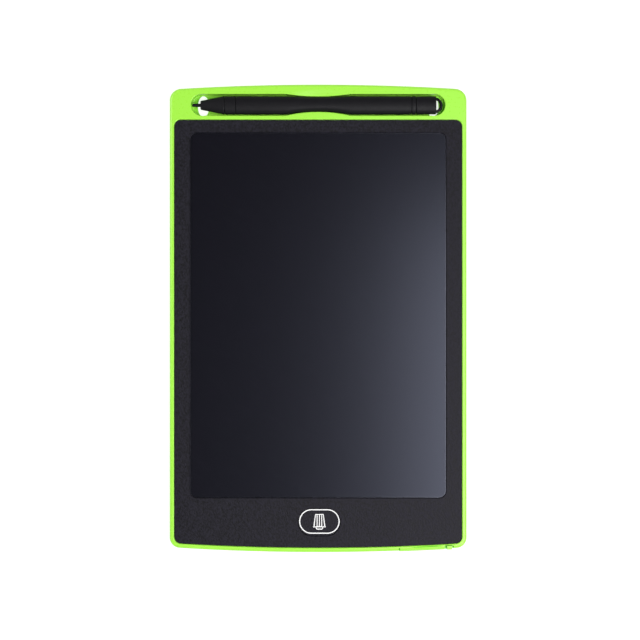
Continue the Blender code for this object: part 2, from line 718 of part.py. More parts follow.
def build_screen_layers():
    """What lies under the window: adhesive ring, writing film, black sheet and support board."""
    tape_edge = inset(SCREEN_EDGE, TAPE_SETBACK)
    tape_hole = inset(WINDOW_EDGE, -TAPE_SETBACK)
    tape = add_piece(
        "screen_tape",
        "white_tape",
        (0, 0, TAPE_BOTTOM),
        prism(outline(tape_edge), 0, TAPE_THICKNESS),
    )
    tape_hole_rings = prism(outline(tape_hole), -OVERRUN, OVERRUN)
    cut(tape, "tape_hole_form", tape_hole_rings, place=(0, 0, TAPE_BOTTOM))
    add_piece(
        "writing_screen",
        "screen_film",
        (0, 0, SCREEN_BOTTOM),
        prism(outline(SCREEN_EDGE), 0, SCREEN_THICKNESS),
    )
    add_piece(
        "backing_sheet",
        "black_sheet",
        (0, 0, SHEET_BOTTOM),
        prism(outline(inset(SCREEN_EDGE, SHEET_SETBACK)), 0, SHEET_THICKNESS),
    )
    half = WINDOW_EDGE.half_width + BOARD_LAP
    low = WINDOW_EDGE.bottom + BOARD_SETBACK
    board = Edge(half, WINDOW_EDGE.top + BOARD_LAP, low, WINDOW_CORNER, WINDOW_CORNER)
    add_piece("support_board", "grey_board", (0, 0, BOARD_BOTTOM), prism(outline(board), 0, BOARD_THICKNESS))


def build_circuit_board():
    """The circuit board, with its screw holes and the window for the lock switch."""
    board = add_piece(
        "circuit_board",
        "green_circuit",
        (CIRCUIT_LEFT, CIRCUIT_LOW, CIRCUIT_UNDERSIDE),
        block(0, CIRCUIT_RIGHT - CIRCUIT_LEFT, 0, CIRCUIT_HIGH - CIRCUIT_LOW, 0, CIRCUIT_THICKNESS),
    )
    low = CIRCUIT_UNDERSIDE - OVERRUN
    high = CIRCUIT_TOP + OVERRUN
    hole = circle(SCREW_SHANK + SCREW_CLEARANCE)
    holes = [prism(moved(hole, x, y), low, high) for x, y in screw_places()]
    half_length = LOCK_BODY_LENGTH / 2 + FIT
    half_width = LOCK_BODY_WIDTH / 2 + FIT
    window = rectangle(-half_length, half_length, -half_width, half_width)
    cut(board, "circuit_hole_forms", prism(moved(window, *LOCK_CENTRE), low, high), *holes)


def build_screws():
    """The three screws that hold the circuit board, sharing one mesh."""
    shank = circle(SCREW_SHANK)
    head = circle(SCREW_HEAD)
    shank_end = -SCREW_REACH - CIRCUIT_THICKNESS
    rings = [level(shank, shank_end), level(shank, 0), level(head, 0), level(head, SCREW_HEAD_HEIGHT)]
    mesh = mesh_of("circuit_screw", [rings])
    mesh.shade_smooth()
    mesh.set_sharp_from_angle(angle=radians(30))
    mesh.materials.append(finish_of("screw_steel"))
    for number, (x, y) in enumerate(screw_places(), start=1):
        add_object(f"circuit_screw_{number}", mesh, (x, y, PART_BASE))


def build_circuit_parts():
    """The chip, coil and capacitors that make the erase pulse, and the screen's connector and flexible tail."""
    x = BUTTON_X + CHIP_X
    chip = centred_block((CHIP_LENGTH, CHIP_WIDTH, CHIP_HEIGHT))
    add_piece("driver_chip", "chip_black", (x, BEZEL_MIDDLE, PART_BASE), chip)
    coil_place = (BUTTON_X + COIL_X, BEZEL_MIDDLE, PART_BASE)
    add_piece("boost_coil", "ferrite_grey", coil_place, centred_block(COIL_SIZE))
    for number, side in enumerate((1, -1), start=1):
        place = (BUTTON_X + CAPACITOR_X, BEZEL_MIDDLE + side * CAPACITOR_STEP / 2, PART_BASE)
        add_piece(f"capacitor_{number}", "ceramic_tan", place, centred_block(CAPACITOR_SIZE))
    length, width, height = CONNECTOR_SIZE
    y = WINDOW_EDGE.bottom - CONNECTOR_DROP
    add_piece("screen_connector", "cream_plastic", (x, y, PART_BASE), centred_block(CONNECTOR_SIZE))
    start = SCREEN_EDGE.bottom - LAYER_GAP
    bend = start - FLEX_REACH
    end = y + width / 2 + LAYER_GAP
    high = SCREEN_BOTTOM + SCREEN_THICKNESS / 2
    low = PART_BASE + height / 2
    under = [(start, high), (bend, high), (end, low)]
    over = [(along, z + FLEX_THICKNESS) for along, z in reversed(under)]
    add_piece("screen_flex", "amber_film", (x, 0, 0), profile_along_x(under + over, FLEX_WIDTH))


def build_erase_button():
    """The button cap with its flange, and the small push switch under it."""
    axis = add_axis("erase_button_axis", (BUTTON_X, BUTTON_Y, CAP_BOTTOM))
    flange_length = BUTTON_LENGTH + 2 * FLANGE_WIDTH
    flange = stadium(flange_length, BUTTON_WIDTH + 2 * FLANGE_WIDTH)
    cap = stadium(BUTTON_LENGTH, BUTTON_WIDTH)
    cap_edge = stadium(BUTTON_LENGTH - 2 * BUTTON_EDGE, BUTTON_WIDTH - 2 * BUTTON_EDGE)
    height = CAP_TOP - CAP_BOTTOM
    rings = [
        level(flange, 0),
        level(flange, FLANGE_THICKNESS),
        level(cap, FLANGE_THICKNESS),
        level(cap, height - BUTTON_EDGE),
        level(cap_edge, height),
    ]
    add_piece("erase_button_cap", "black_texture", (BUTTON_X, BUTTON_Y, CAP_BOTTOM), rings, carrier=axis)
    bore_floor = PART_BASE + SWITCH_BORE_FLOOR
    base = add_piece(
        "erase_switch_base",
        "switch_black",
        (BUTTON_X, BUTTON_Y, PART_BASE),
        centred_block((SWITCH_SIDE, SWITCH_SIDE, SWITCH_HEIGHT)),
    )
    bore = prism(circle(PLUNGER_RADIUS + PLUNGER_CLEARANCE), bore_floor, SWITCH_TOP + OVERRUN)
    cut(base, "switch_bore_form", bore, place=(BUTTON_X, BUTTON_Y, 0))
    plunger_base = bore_floor + PRESS_TRAVEL + LAYER_GAP
    add_piece(
        "erase_switch_plunger",
        "plunger_red",
        (BUTTON_X, BUTTON_Y, plunger_base),
        prism(circle(PLUNGER_RADIUS), 0, PLUNGER_TOP - plunger_base),
        carrier=axis,
    )


def build_coin_cell(axis):
    """The coin cell, its narrower pole facing down."""
    cap = circle(CELL_CAP_RADIUS, CELL_SIDES)
    can = circle(CELL_RADIUS, CELL_SIDES)
    rings = [level(cap, 0), level(cap, CELL_CAP_HEIGHT), level(can, CELL_CAP_HEIGHT), level(can, CELL_THICKNESS)]
    add_piece("coin_cell", "cell_steel", (CELL_X, CELL_Y, CELL_BASE), rings, carrier=axis)


def build_battery_tray(axis, body):
    """The drawer: a front that follows the body's edge, and a frame round the coin cell with a slot for a contact."""
    left = FRONT_LEFT - CELL_X
    right = FRONT_RIGHT - CELL_X
    front = -HALF_LENGTH - OVERRUN - CELL_Y
    height = TRAY_TOP - TRAY_BASE
    tray = add_piece(
        "battery_tray",
        "lime_plastic",
        (CELL_X, CELL_Y, TRAY_BASE),
        block(left, right, front, FRONT_BACK - CELL_Y, 0, FRONT_TOP - TRAY_BASE),
        carrier=axis,
    )
    combine(tray, body, "INTERSECT")
    back = TRAY_END - CELL_Y
    frame = block(-TRAY_HALF, TRAY_HALF, FRONT_BACK - CELL_Y - JOIN, back, 0, height)
    join(tray, "tray_frame_form", frame, place=(CELL_X, CELL_Y, TRAY_BASE))
    lug_right = LATCH_X + LATCH_BEAM / 2 - CELL_X
    lug = block(TRAY_HALF - JOIN, lug_right, back - LUG_LENGTH, back, 0, height)
    join(tray, "latch_lug_form", lug, place=(CELL_X, CELL_Y, TRAY_BASE))
    seat = prism(circle(CELL_RADIUS + CELL_CLEARANCE, CELL_SIDES), TRAY_FLOOR, BODY_THICKNESS)
    cut(tray, "cell_seat_form", seat, place=(CELL_X, CELL_Y, TRAY_BASE))
    half_slot = TRAY_SLOT / 2
    slot = block(-half_slot, half_slot, -TRAY_SLOT_REACH, back + OVERRUN, -OVERRUN, TRAY_FLOOR + JOIN)
    cut(tray, "contact_slot_form", slot, place=(CELL_X, CELL_Y, TRAY_BASE))


def build_latch(drawer_axis, body):
    """The springy finger beside the drawer, with the pad that a fingernail pushes and the barb that holds."""
    axis = add_axis("latch_axis", (LATCH_X, LATCH_Y, TRAY_BASE), carrier=drawer_axis)
    front_low = -HALF_LENGTH - OVERRUN - LATCH_Y
    pad_top = BODY_THICKNESS - LATCH_PAD_DROP - TRAY_BASE
    latch = add_piece(
        "battery_latch",
        "lime_plastic",
        (LATCH_X, LATCH_Y, TRAY_BASE),
        block(-LATCH_PAD_LEFT, LATCH_PAD_RIGHT, front_low, PAD_BACK - LATCH_Y, 0, pad_top),
        carrier=axis,
    )
    combine(latch, body, "INTERSECT")
    half = LATCH_BEAM / 2
    barb = half + BARB_DEPTH
    start = BARB_START - LATCH_Y
    reach = PAD_BACK - LATCH_Y - JOIN
    right = [(half, reach), (half, start), (barb, start), (barb, start + BARB_LENGTH / 2)]
    beam = [(-half, reach)] + right + [(half, start + BARB_LENGTH)] + arc(0, 0, half, 0, pi, END_STEPS)
    beam_rings = prism(beam, 0, TRAY_TOP - TRAY_BASE - LAYER_GAP)
    join(latch, "latch_beam_form", beam_rings, place=(LATCH_X, LATCH_Y, TRAY_BASE + LAYER_GAP / 2))


def build_battery_drawer():
    """The drawer with its cell and latch, and the two contacts that stay in the body."""
    body = add_tool("drawer_bounds_form", body_form())
    axis = add_axis("battery_tray_axis", (CELL_X, CELL_Y, TRAY_BASE))
    build_battery_tray(axis, body)
    build_coin_cell(axis)
    build_latch(axis, body)
    build_positive_contact()
    build_negative_contact()


def build_positive_contact():
    """A brass leaf from the circuit board over the drawer's guide to the top of the cell."""
    leaf = CELL_TOP + CONTACT_GAP - PART_BASE
    riser = -CONTACT_THICKNESS
    end = BAY_LEFT - CIRCUIT_RIGHT + CONTACT_OVERLAP
    profile = [
        (-CONTACT_FOOT, 0),
        (0, 0),
        (0, leaf),
        (end, leaf),
        (end, leaf + CONTACT_THICKNESS),
        (riser, leaf + CONTACT_THICKNESS),
        (riser, CONTACT_THICKNESS),
        (-CONTACT_FOOT, CONTACT_THICKNESS),
    ]
    place = (CIRCUIT_RIGHT, CELL_Y, PART_BASE)
    add_piece("positive_contact", "spring_brass", place, profile_along_y(profile, CONTACT_WIDTH))


def build_negative_contact():
    """A brass strip from the circuit board round the drawer's back end, and down under the cell."""
    base = TRAY_END + CONTACT_SETBACK
    leaf = CELL_BASE - CONTACT_GAP - CONTACT_THICKNESS
    strip_left = CIRCUIT_RIGHT - CONTACT_FOOT
    half = CONTACT_WIDTH / 2
    contact = add_piece(
        "negative_contact",
        "spring_brass",
        (CELL_X, base, PART_BASE),
        block(strip_left - CELL_X, half, 0, CONTACT_STRIP, 0, CONTACT_THICKNESS),
    )
    top = PART_BASE - leaf + CONTACT_THICKNESS
    tip = CELL_Y - base
    profile = [
        (tip, 0),
        (CONTACT_THICKNESS, 0),
        (CONTACT_THICKNESS, top),
        (0, top),
        (0, CONTACT_THICKNESS),
        (tip, CONTACT_THICKNESS),
    ]
    join(contact, "negative_leaf_form", profile_along_x(profile, CONTACT_WIDTH), place=(CELL_X, base, leaf))


def build_lock():
    """The slider in the back that blocks erasing, and the small slide switch that it works."""
    axis = add_axis("lock_slider_axis", (*LOCK_CENTRE, LOCK_PAD_RECESS))
    pad_height = LOCK_RECESS_DEPTH - LOCK_PAD_RECESS - LAYER_GAP
    slider = add_piece(
        "lock_slider",
        "switch_black",
        (*LOCK_CENTRE, LOCK_PAD_RECESS),
        prism(stadium(LOCK_PAD_LENGTH, LOCK_PAD_WIDTH), 0, pad_height),
        carrier=axis,
    )
    half_length = LOCK_NECK_LENGTH / 2
    half_width = LOCK_NECK_WIDTH / 2
    neck_top = FLOOR_THICKNESS + LAYER_GAP
    neck = block(-half_length, half_length, -half_width, half_width, LOCK_PAD_RECESS + pad_height / 2, neck_top)
    join(slider, "lock_neck_form", neck, place=(*LOCK_CENTRE, 0))
    lever_base = neck_top + LAYER_GAP
    lever_top = LOCK_BODY_BASE + LOCK_LEVER_REACH
    lever = centred_block((LOCK_LEVER_LENGTH, LOCK_LEVER_WIDTH, lever_top - lever_base))
    add_piece("lock_switch_lever", "cream_plastic", (*LOCK_CENTRE, lever_base), lever, carrier=axis)
    lower = rectangle(-LOCK_BODY_LENGTH / 2, LOCK_BODY_LENGTH / 2, -LOCK_BODY_WIDTH / 2, LOCK_BODY_WIDTH / 2)
    ear_reach = LOCK_BODY_LENGTH / 2 + LOCK_EAR
    lip_reach = LOCK_BODY_WIDTH / 2 + LOCK_LIP
    upper = rectangle(-ear_reach, ear_reach, -lip_reach, lip_reach)
    ledge = PART_BASE - LOCK_BODY_BASE
    rings = [
        level(lower, 0),
        level(lower, ledge),
        level(upper, ledge),
        level(upper, ledge + LOCK_BODY_HEIGHT),
    ]
    body = add_piece("lock_switch_base", "switch_black", (*LOCK_CENTRE, LOCK_BODY_BASE), rings)
    slot_start = -LOCK_LEVER_LENGTH / 2 - FIT
    slot_end = LOCK_LEVER_LENGTH / 2 + LOCK_TRAVEL + FIT
    slot_half = LOCK_LEVER_WIDTH / 2 + FIT
    slot = block(slot_start, slot_end, -slot_half, slot_half, LOCK_BODY_BASE - OVERRUN, lever_top + FIT)
    cut(body, "lever_slot_form", slot, place=(*LOCK_CENTRE, 0))


def oval(x, upper, lower, half_height):
    """A ring round the stylus: a rounded, flattened section that reaches unlike distances up and down in Y."""
    points = []
    for turn in spread(0, 2 * pi, OVAL_SIDES)[:-1]:
        across = abs(cos(turn)) ** (2 / OVAL_POWER)
        height = abs(sin(turn)) ** (2 / OVAL_POWER)
        y = upper * across if cos(turn) > 0 else -lower * across
        z = half_height * height if sin(turn) > 0 else -half_height * height
        points.append((x, y, z))
    return points


def even_oval(x, half_width, half_height):
    return oval(x, half_width, half_width, half_height)


def waist_rings():
    """The rings along the stylus's waist, where it clears the trough's bulges."""
    half_width = STYLUS_WIDTH / 2
    upper_depth = half_width + STYLUS_Y - (TROUGH_TOP - UPPER_BULGE) + WAIST_CLEARANCE
    lower_depth = half_width - STYLUS_Y + (TROUGH_BOTTOM + LOWER_BULGE) + WAIST_CLEARANCE
    half = BULGE_LENGTH / 2
    rings = []
    for share in spread(-1, 1, 2 * BULGE_STEPS):
        sag = 1 - share**2
        upper = half_width - upper_depth * sag
        lower = half_width - lower_depth * sag
        rings.append(oval(share * half, upper, lower, STYLUS_HEIGHT / 2))
    return rings


def groove_rings(x):
    """The rings of a narrow groove round the stylus, centred on x."""
    half_width = STYLUS_WIDTH / 2
    half_height = STYLUS_HEIGHT / 2
    half = GROOVE_WIDTH / 2
    return [
        even_oval(x - half, half_width, half_height),
        even_oval(x - half + GROOVE_DEPTH / 2, half_width - GROOVE_DEPTH, half_height - GROOVE_DEPTH),
        even_oval(x + half - GROOVE_DEPTH / 2, half_width - GROOVE_DEPTH, half_height - GROOVE_DEPTH),
        even_oval(x + half, half_width, half_height),
    ]


def build_barrel(axis, centre):
    """The barrel, with a groove near each end, a waist in the middle and a socket in each end face."""
    half_width = STYLUS_WIDTH / 2
    half_height = STYLUS_HEIGHT / 2
    rings = [even_oval(BARREL_START, half_width, half_height)]
    rings += groove_rings(BARREL_START + COLLAR_LENGTH)
    rings += waist_rings()
    rings += groove_rings(BARREL_END - BAND_LENGTH)
    rings += [even_oval(BARREL_END, half_width, half_height)]
    barrel = add_piece("stylus_barrel", "stylus_black", centre, rings, carrier=axis)
    width = SPIGOT_WIDTH / 2 + SPIGOT_CLEARANCE
    height = SPIGOT_HEIGHT / 2 + SPIGOT_CLEARANCE
    depth = SPIGOT_LENGTH + SPIGOT_CLEARANCE
    for name, face, inwards in (("nose_socket_form", BARREL_START, 1), ("tail_socket_form", BARREL_END, -1)):
        mouth = even_oval(face - inwards * OVERRUN, width, height)
        end = even_oval(face + inwards * depth, width, height)
        cut(barrel, name, [mouth, end], place=centre)


def build_nose(axis, centre):
    """The nose cone, bored for the nib, and its spigot into the barrel."""
    half_width = STYLUS_WIDTH / 2
    half_height = STYLUS_HEIGHT / 2
    rings = [
        even_oval(NOSE_FRONT, NOSE_FRONT_RADIUS, NOSE_FRONT_RADIUS),
        even_oval(NOSE_END - NOSE_SHOULDER, half_width, half_height),
        even_oval(NOSE_END, half_width, half_height),
        even_oval(NOSE_END, SPIGOT_WIDTH / 2, SPIGOT_HEIGHT / 2),
        even_oval(BARREL_START + SPIGOT_LENGTH, SPIGOT_WIDTH / 2, SPIGOT_HEIGHT / 2),
    ]
    nose = add_piece("stylus_nose", "stylus_black", centre, rings, carrier=axis)
    bore = NIB_RADIUS + NIB_CLEARANCE
    bore_end = NOSE_FRONT + NIB_STEM + NIB_CLEARANCE
    rings = [even_oval(x, bore, bore) for x in (NOSE_FRONT - OVERRUN, bore_end)]
    cut(nose, "nib_bore_form", rings, place=centre)


def build_nib(axis, centre):
    """The hard nib: a slim taper with a rounded tip, on a stem inside the nose."""
    tip = NOSE_FRONT - NIB_REACH
    rings = []
    for turn in spread(pi / 2 / FILLET_STEPS / 2, pi / 2, FILLET_STEPS):
        radius = NIB_TIP_RADIUS * sin(turn)
        rings.append(even_oval(tip + NIB_TIP_RADIUS * (1 - cos(turn)), radius, radius))
    rings.append(even_oval(NOSE_FRONT, NIB_RADIUS, NIB_RADIUS))
    rings.append(even_oval(NOSE_FRONT + NIB_STEM, NIB_RADIUS, NIB_RADIUS))
    add_piece("stylus_nib", "stylus_black", centre, rings, carrier=axis)


def build_tail(axis, centre):
    """The tail cap with its lanyard loop, and its spigot into the barrel."""
    half_width = STYLUS_WIDTH / 2
    half_height = STYLUS_HEIGHT / 2
    rings = [
        even_oval(BARREL_END - SPIGOT_LENGTH, SPIGOT_WIDTH / 2, SPIGOT_HEIGHT / 2),
        even_oval(TAIL_START, SPIGOT_WIDTH / 2, SPIGOT_HEIGHT / 2),
        even_oval(TAIL_START, half_width, half_height),
        even_oval(TAIL_END - TAIL_FILLET, half_width, half_height),
        even_oval(TAIL_END, half_width - TAIL_FILLET, half_height - TAIL_FILLET),
    ]
    tail = add_piece("stylus_tail_cap", "stylus_black", centre, rings, carrier=axis)
    middle = LOOP_RADIUS - LOOP_BAR / 2
    loop_x = TAIL_END + LOOP_REACH - LOOP_RADIUS
    loop = []
    for turn in spread(-pi / 2, pi / 2, LOOP_STEPS):
        ring = []
        for around in spread(0, 2 * pi, LOOP_SIDES)[:-1]:
            reach = middle + LOOP_BAR / 2 * cos(around)
            ring.append((loop_x + reach * cos(turn), reach * sin(turn), LOOP_BAR / 2 * sin(around)))
        loop.append(ring)
    join(tail, "lanyard_loop_form", loop, place=centre)


def build_stylus():
    """The stylus in its trough, from nib to lanyard loop."""
    centre = (0, STYLUS_Y, STYLUS_Z)
    axis = add_axis("stylus_axis", centre)
    build_nib(axis, centre)
    build_nose(axis, centre)
    build_barrel(axis, centre)
    build_tail(axis, centre)


def clear_scene():
    for thing in list(bpy.data.objects):
        bpy.data.objects.remove(thing, do_unlink=True)


def main():
    clear_scene()
    build_rear_shell()
    build_front_panel()
    build_screen_layers()
    build_circuit_board()
    build_screws()
    build_circuit_parts()
    build_erase_button()
    build_battery_drawer()
    build_lock()
    build_stylus()


main()
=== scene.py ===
"""The finished look of a slim 8.5 inch writing tablet and its stylus, laid out as an add-on.

+Z points out of the screen, +Y towards the stylus rail and +X to the right. Lengths are in metres.
"""

from math import asin, copysign, cos, pi, radians, sin
from typing import NamedTuple

import bmesh
import bpy
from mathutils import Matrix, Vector


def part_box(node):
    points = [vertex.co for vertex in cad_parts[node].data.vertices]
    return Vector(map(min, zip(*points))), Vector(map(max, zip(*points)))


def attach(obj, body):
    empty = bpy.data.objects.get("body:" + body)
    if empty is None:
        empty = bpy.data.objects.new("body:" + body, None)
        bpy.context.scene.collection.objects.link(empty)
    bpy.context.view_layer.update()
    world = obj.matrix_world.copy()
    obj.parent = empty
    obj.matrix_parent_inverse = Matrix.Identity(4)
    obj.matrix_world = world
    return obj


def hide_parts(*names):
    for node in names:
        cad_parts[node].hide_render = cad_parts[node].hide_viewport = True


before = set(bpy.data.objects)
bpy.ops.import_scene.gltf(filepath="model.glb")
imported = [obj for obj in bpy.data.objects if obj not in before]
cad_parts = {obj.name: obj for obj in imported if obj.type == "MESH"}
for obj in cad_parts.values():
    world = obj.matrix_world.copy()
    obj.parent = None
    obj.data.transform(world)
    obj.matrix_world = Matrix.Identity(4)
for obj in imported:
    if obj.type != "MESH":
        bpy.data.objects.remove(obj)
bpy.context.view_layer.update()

bl_info = {
    "name": "Writing Tablet",
    "version": (1, 0, 0),
    "blender": (4, 5, 0),
    "location": "3D View > Sidebar > Tablet",
    "description": "Builds the finished look of a slim writing tablet with its stylus",
    "category": "Add Mesh",
}

# Where the frame's solids lie
SHELL_LOW, SHELL_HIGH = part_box("rear_shell")
PANEL_LOW, PANEL_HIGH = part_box("front_panel")
FILM_LOW, FILM_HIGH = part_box("writing_screen")
BOARD_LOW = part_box("support_board")[0]
CIRCUIT_LOW, CIRCUIT_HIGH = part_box("circuit_board")
CAP_LOW, CAP_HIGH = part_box("erase_button_cap")
TRAY_LOW, TRAY_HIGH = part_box("battery_tray")
LATCH_LOW, LATCH_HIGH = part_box("battery_latch")
CELL_LOW, CELL_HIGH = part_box("coin_cell")
SLIDER_LOW, SLIDER_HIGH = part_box("lock_slider")
NIB_LOW, NIB_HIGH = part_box("stylus_nib")
NOSE_LOW, NOSE_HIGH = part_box("stylus_nose")
BARREL_LOW, BARREL_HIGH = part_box("stylus_barrel")
TAIL_LOW, TAIL_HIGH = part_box("stylus_tail_cap")

# How far a cut runs past what it cuts, and a union into what it joins
OVERRUN = 0.001
JOIN = 0.0003

# How finely round shapes are divided
CORNER_STEPS = 14
EDGE_STEPS = 40
FILLET_STEPS = 8
LIP_STEPS = 5
END_STEPS = 24
BULGE_STEPS = 28
ROUND_SIDES = 48
CELL_SIDES = 96
BOWL_STEPS = 12
OVAL_SIDES = 72
LOOP_STEPS = 28
LOOP_SIDES = 20

# Edges that turn by more than this stay sharp
SHARP_ANGLE = radians(32)

# A groove or taper that a moulding doesn't have lies this far before its start
OFF_PIECE = 1.0
# How much rounder the tail cap's ends are than the stylus's other ends
TAIL_ROUNDING = 1.6
# The lock slider's grip ridges, as shares of its width and length
RIDGE_HALF = 0.3
RIDGE_ROW = 0.45
# A screw's tip as a share of its shank, and the top and the cross of its head as shares of the head
SCREW_TIP = 0.7
HEAD_TOP = 0.8
CROSS_ARM = 0.62
# Where a lead bends, as shares of its reach, and the share of the chip's length that a row takes up
LEAD_KNEE = 0.4
LEAD_FOOT = 0.6
LEAD_ROW = 0.78


def size(name, description, default):
    """A length that a user may change."""
    return bpy.props.FloatProperty(
        name=name, description=description, default=default, unit="LENGTH", precision=5
    )


def share(name, description, default, unit="NONE"):
    """A plain number, or one of another unit, that a user may change."""
    return bpy.props.FloatProperty(
        name=name, description=description, default=default, unit=unit, precision=3
    )


def number(name, description, default):
    """A number of like pieces that a user may change."""
    return bpy.props.IntProperty(name=name, description=description, default=default, min=2)


def spot(name, description, default):
    """A place that a user may change."""
    return bpy.props.FloatVectorProperty(
        name=name, description=description, default=default, subtype="XYZ", unit="LENGTH", size=3
    )


def tint(name, description, default):
    """A colour that a user may change."""
    return bpy.props.FloatVectorProperty(
        name=name, description=description, default=default, subtype="COLOR", size=3, min=0, max=1
    )


class BodySizes(bpy.types.PropertyGroup):
    """The lime shell's outline, walls and rounding."""

    width: size("Width", "Shell from side to side", SHELL_HIGH.x - SHELL_LOW.x)
    length: size("Length", "Shell from end to end", SHELL_HIGH.y - SHELL_LOW.y)
    thickness: size("Thickness", "Shell from back to front", SHELL_HIGH.z)
    edge_arc: size("End arc", "Radius of the bowed top and bottom edges", 1.103)
    top_corner: size("Top corner", "Radius of the corners at the stylus rail", 0.0057)
    bottom_corner: size("Bottom corner", "Radius of the corners at the button", 0.0051)
    front_fillet: size("Front fillet", "Rounding of the outer front edge", 0.0014)
    back_fillet: size("Back fillet", "Rounding of the outer back edge", 0.0010)
    floor: size("Floor", "Thickness of the shell's floor", 0.0012)
    rim: size("Rim", "Width of the rim beside the panel", 0.00215)
    rim_lip: size("Rim lip", "Rounding of the rim's inner edge", 0.0004)
    rail: size("Rail", "Width of green between the trough and the panel", 0.00192)
    pocket_corner: size("Pocket corner", "Corner radius of the panel's pocket", 0.0034)
    ledge: size("Ledge", "Width of the ledge that the panel lies on", 0.0010)
    layer_gap: size("Layer gap", "Gap between layers that lie on each other", 0.00005)
    rib_height: size("Rib height", "Height of the ribs on the floor", 0.0008)
    rib_width: size("Rib width", "Thickness of the ribs on the floor", 0.0008)
    long_ribs: number("Long ribs", "Ribs along the shell", 4)
    cross_ribs: number("Cross ribs", "Ribs across the shell", 6)


class PanelSizes(bpy.types.PropertyGroup):
    """The black front panel and the film in its window."""

    film_lap: size("Film lap", "How far the film reaches under the panel", 0.0025)
    window_corner: size("Window corner", "Corner radius of the window", 0.0033)
    window_chamfer: size("Window chamfer", "Chamfer round the window", 0.0003)
    fit: size("Fit", "Gap round the panel", 0.0002)
    edge_round: size("Edge rounding", "Rounding of the panel's outer edge", 0.00015)
    film_edge: size("Film edge", "Rounding of the film's edges", 0.0001)
    seal_width: size("Seal width", "Width of the clear seal inside the window's edge", 0.0004)
    seal_height: size("Seal height", "Height of the clear seal on the film", 0.00006)


class TroughSizes(bpy.types.PropertyGroup):
    """The stylus trough in the rail, and what is round it."""

    below: size("Room below", "Gap under the stylus as seen from the front", 0.00098)
    above: size("Room above", "Gap over the stylus as seen from the front", 0.00065)
    loop_room: size("Loop room", "Gap behind the lanyard loop", 0.00115)
    floor: size("Floor", "Thickness of the trough's floor", 0.0010)
    lip: size("Lip", "Rounding of the trough's edge", 0.0003)
    floor_fillet: size("Floor fillet", "Rounding between the trough's wall and floor", 0.0008)
    bulge_length: size("Bulge length", "Length of the bulges at the stylus's waist", 0.0312)
    upper_bulge: size("Upper bulge", "Depth of the bulge in the outer wall", 0.0011)
    lower_bulge: size("Lower bulge", "Depth of the bulge in the inner wall", 0.0018)
    hole_inset: size("Hole inset", "Push-out hole's middle from the trough's end", 0.0058)
    hole_width: size("Hole width", "Width of a push-out hole", 0.0055)
    hole_bite: size("Hole bite", "How far a push-out hole bites into the inner wall", 0.0002)
    hole_gap: size("Hole gap", "Floor left between a push-out hole and the outer wall", 0.0005)
    hole_lip: size("Hole lip", "Rounding of a push-out hole's edge", 0.0002)
    dish_reach: size("Dish reach", "How far the finger dish reaches into the rail", 0.0025)
    dish_margin: size("Dish margin", "How far the finger dish is longer than the bulge", 0.0013)
    dish_depth: size("Dish depth", "Depth of the finger dish", 0.0006)
    relief_width: size("Relief width", "Width of the slot at each end of the outer bulge", 0.0007)
    relief_depth: size("Relief depth", "Depth of that slot into the outer wall", 0.0025)


class ButtonSizes(bpy.types.PropertyGroup):
    """The erase button, its hole and what is printed on it."""

    flange: size("Flange", "Width of the button's hidden flange", 0.0009)
    flange_thickness: size("Flange thickness", "Thickness of the hidden flange", 0.00035)
    gap: size("Gap", "Gap round the button in the panel", 0.0002)
    edge_round: size("Edge rounding", "Rounding of the button's upper edge", 0.0002)
    ring_length: size("Ring length", "Printed ring, end to end", 0.0196)
    ring_width: size("Ring width", "Printed ring, side to side", 0.01185)
    ring_stroke: size("Ring stroke", "Width of the printed ring's line", 0.0005)
    print_rise: size("Print rise", "Middle of the print above the button's middle", 0.0004)
    print_side: size("Print side", "Middle of the print right of the button's middle", 0.0001)
    ink: size("Ink", "Thickness of the print", 0.00002)
    bin_stroke: size("Bin stroke", "Width of the bin's lines", 0.0005)
    bin_base_y: size("Bin base", "Bin's far end above the button's middle", 0.0034)
    bin_base: size("Bin base width", "Width of the bin at its far end", 0.00426)
    bin_mouth: size("Bin mouth", "Width of the bin at its lid", 0.00576)
    slats: number("Slats", "Slats of the bin", 3)
    lid_y: size("Lid", "Lid's line from the button's middle", -0.00255)
    lid_length: size("Lid length", "Length of the lid's line", 0.0062)
    handle_y: size("Handle", "Handle's end from the button's middle", -0.0037)
    handle_width: size("Handle width", "Width of the lid's handle at the lid", 0.0042)
    handle_end: size("Handle end", "Width of the lid's handle at its end", 0.0028)
    slat_width: size("Slat width", "Width of the bin's slats", 0.00043)
    slat_step: size("Slat step", "Distance between the bin's slats", 0.00112)


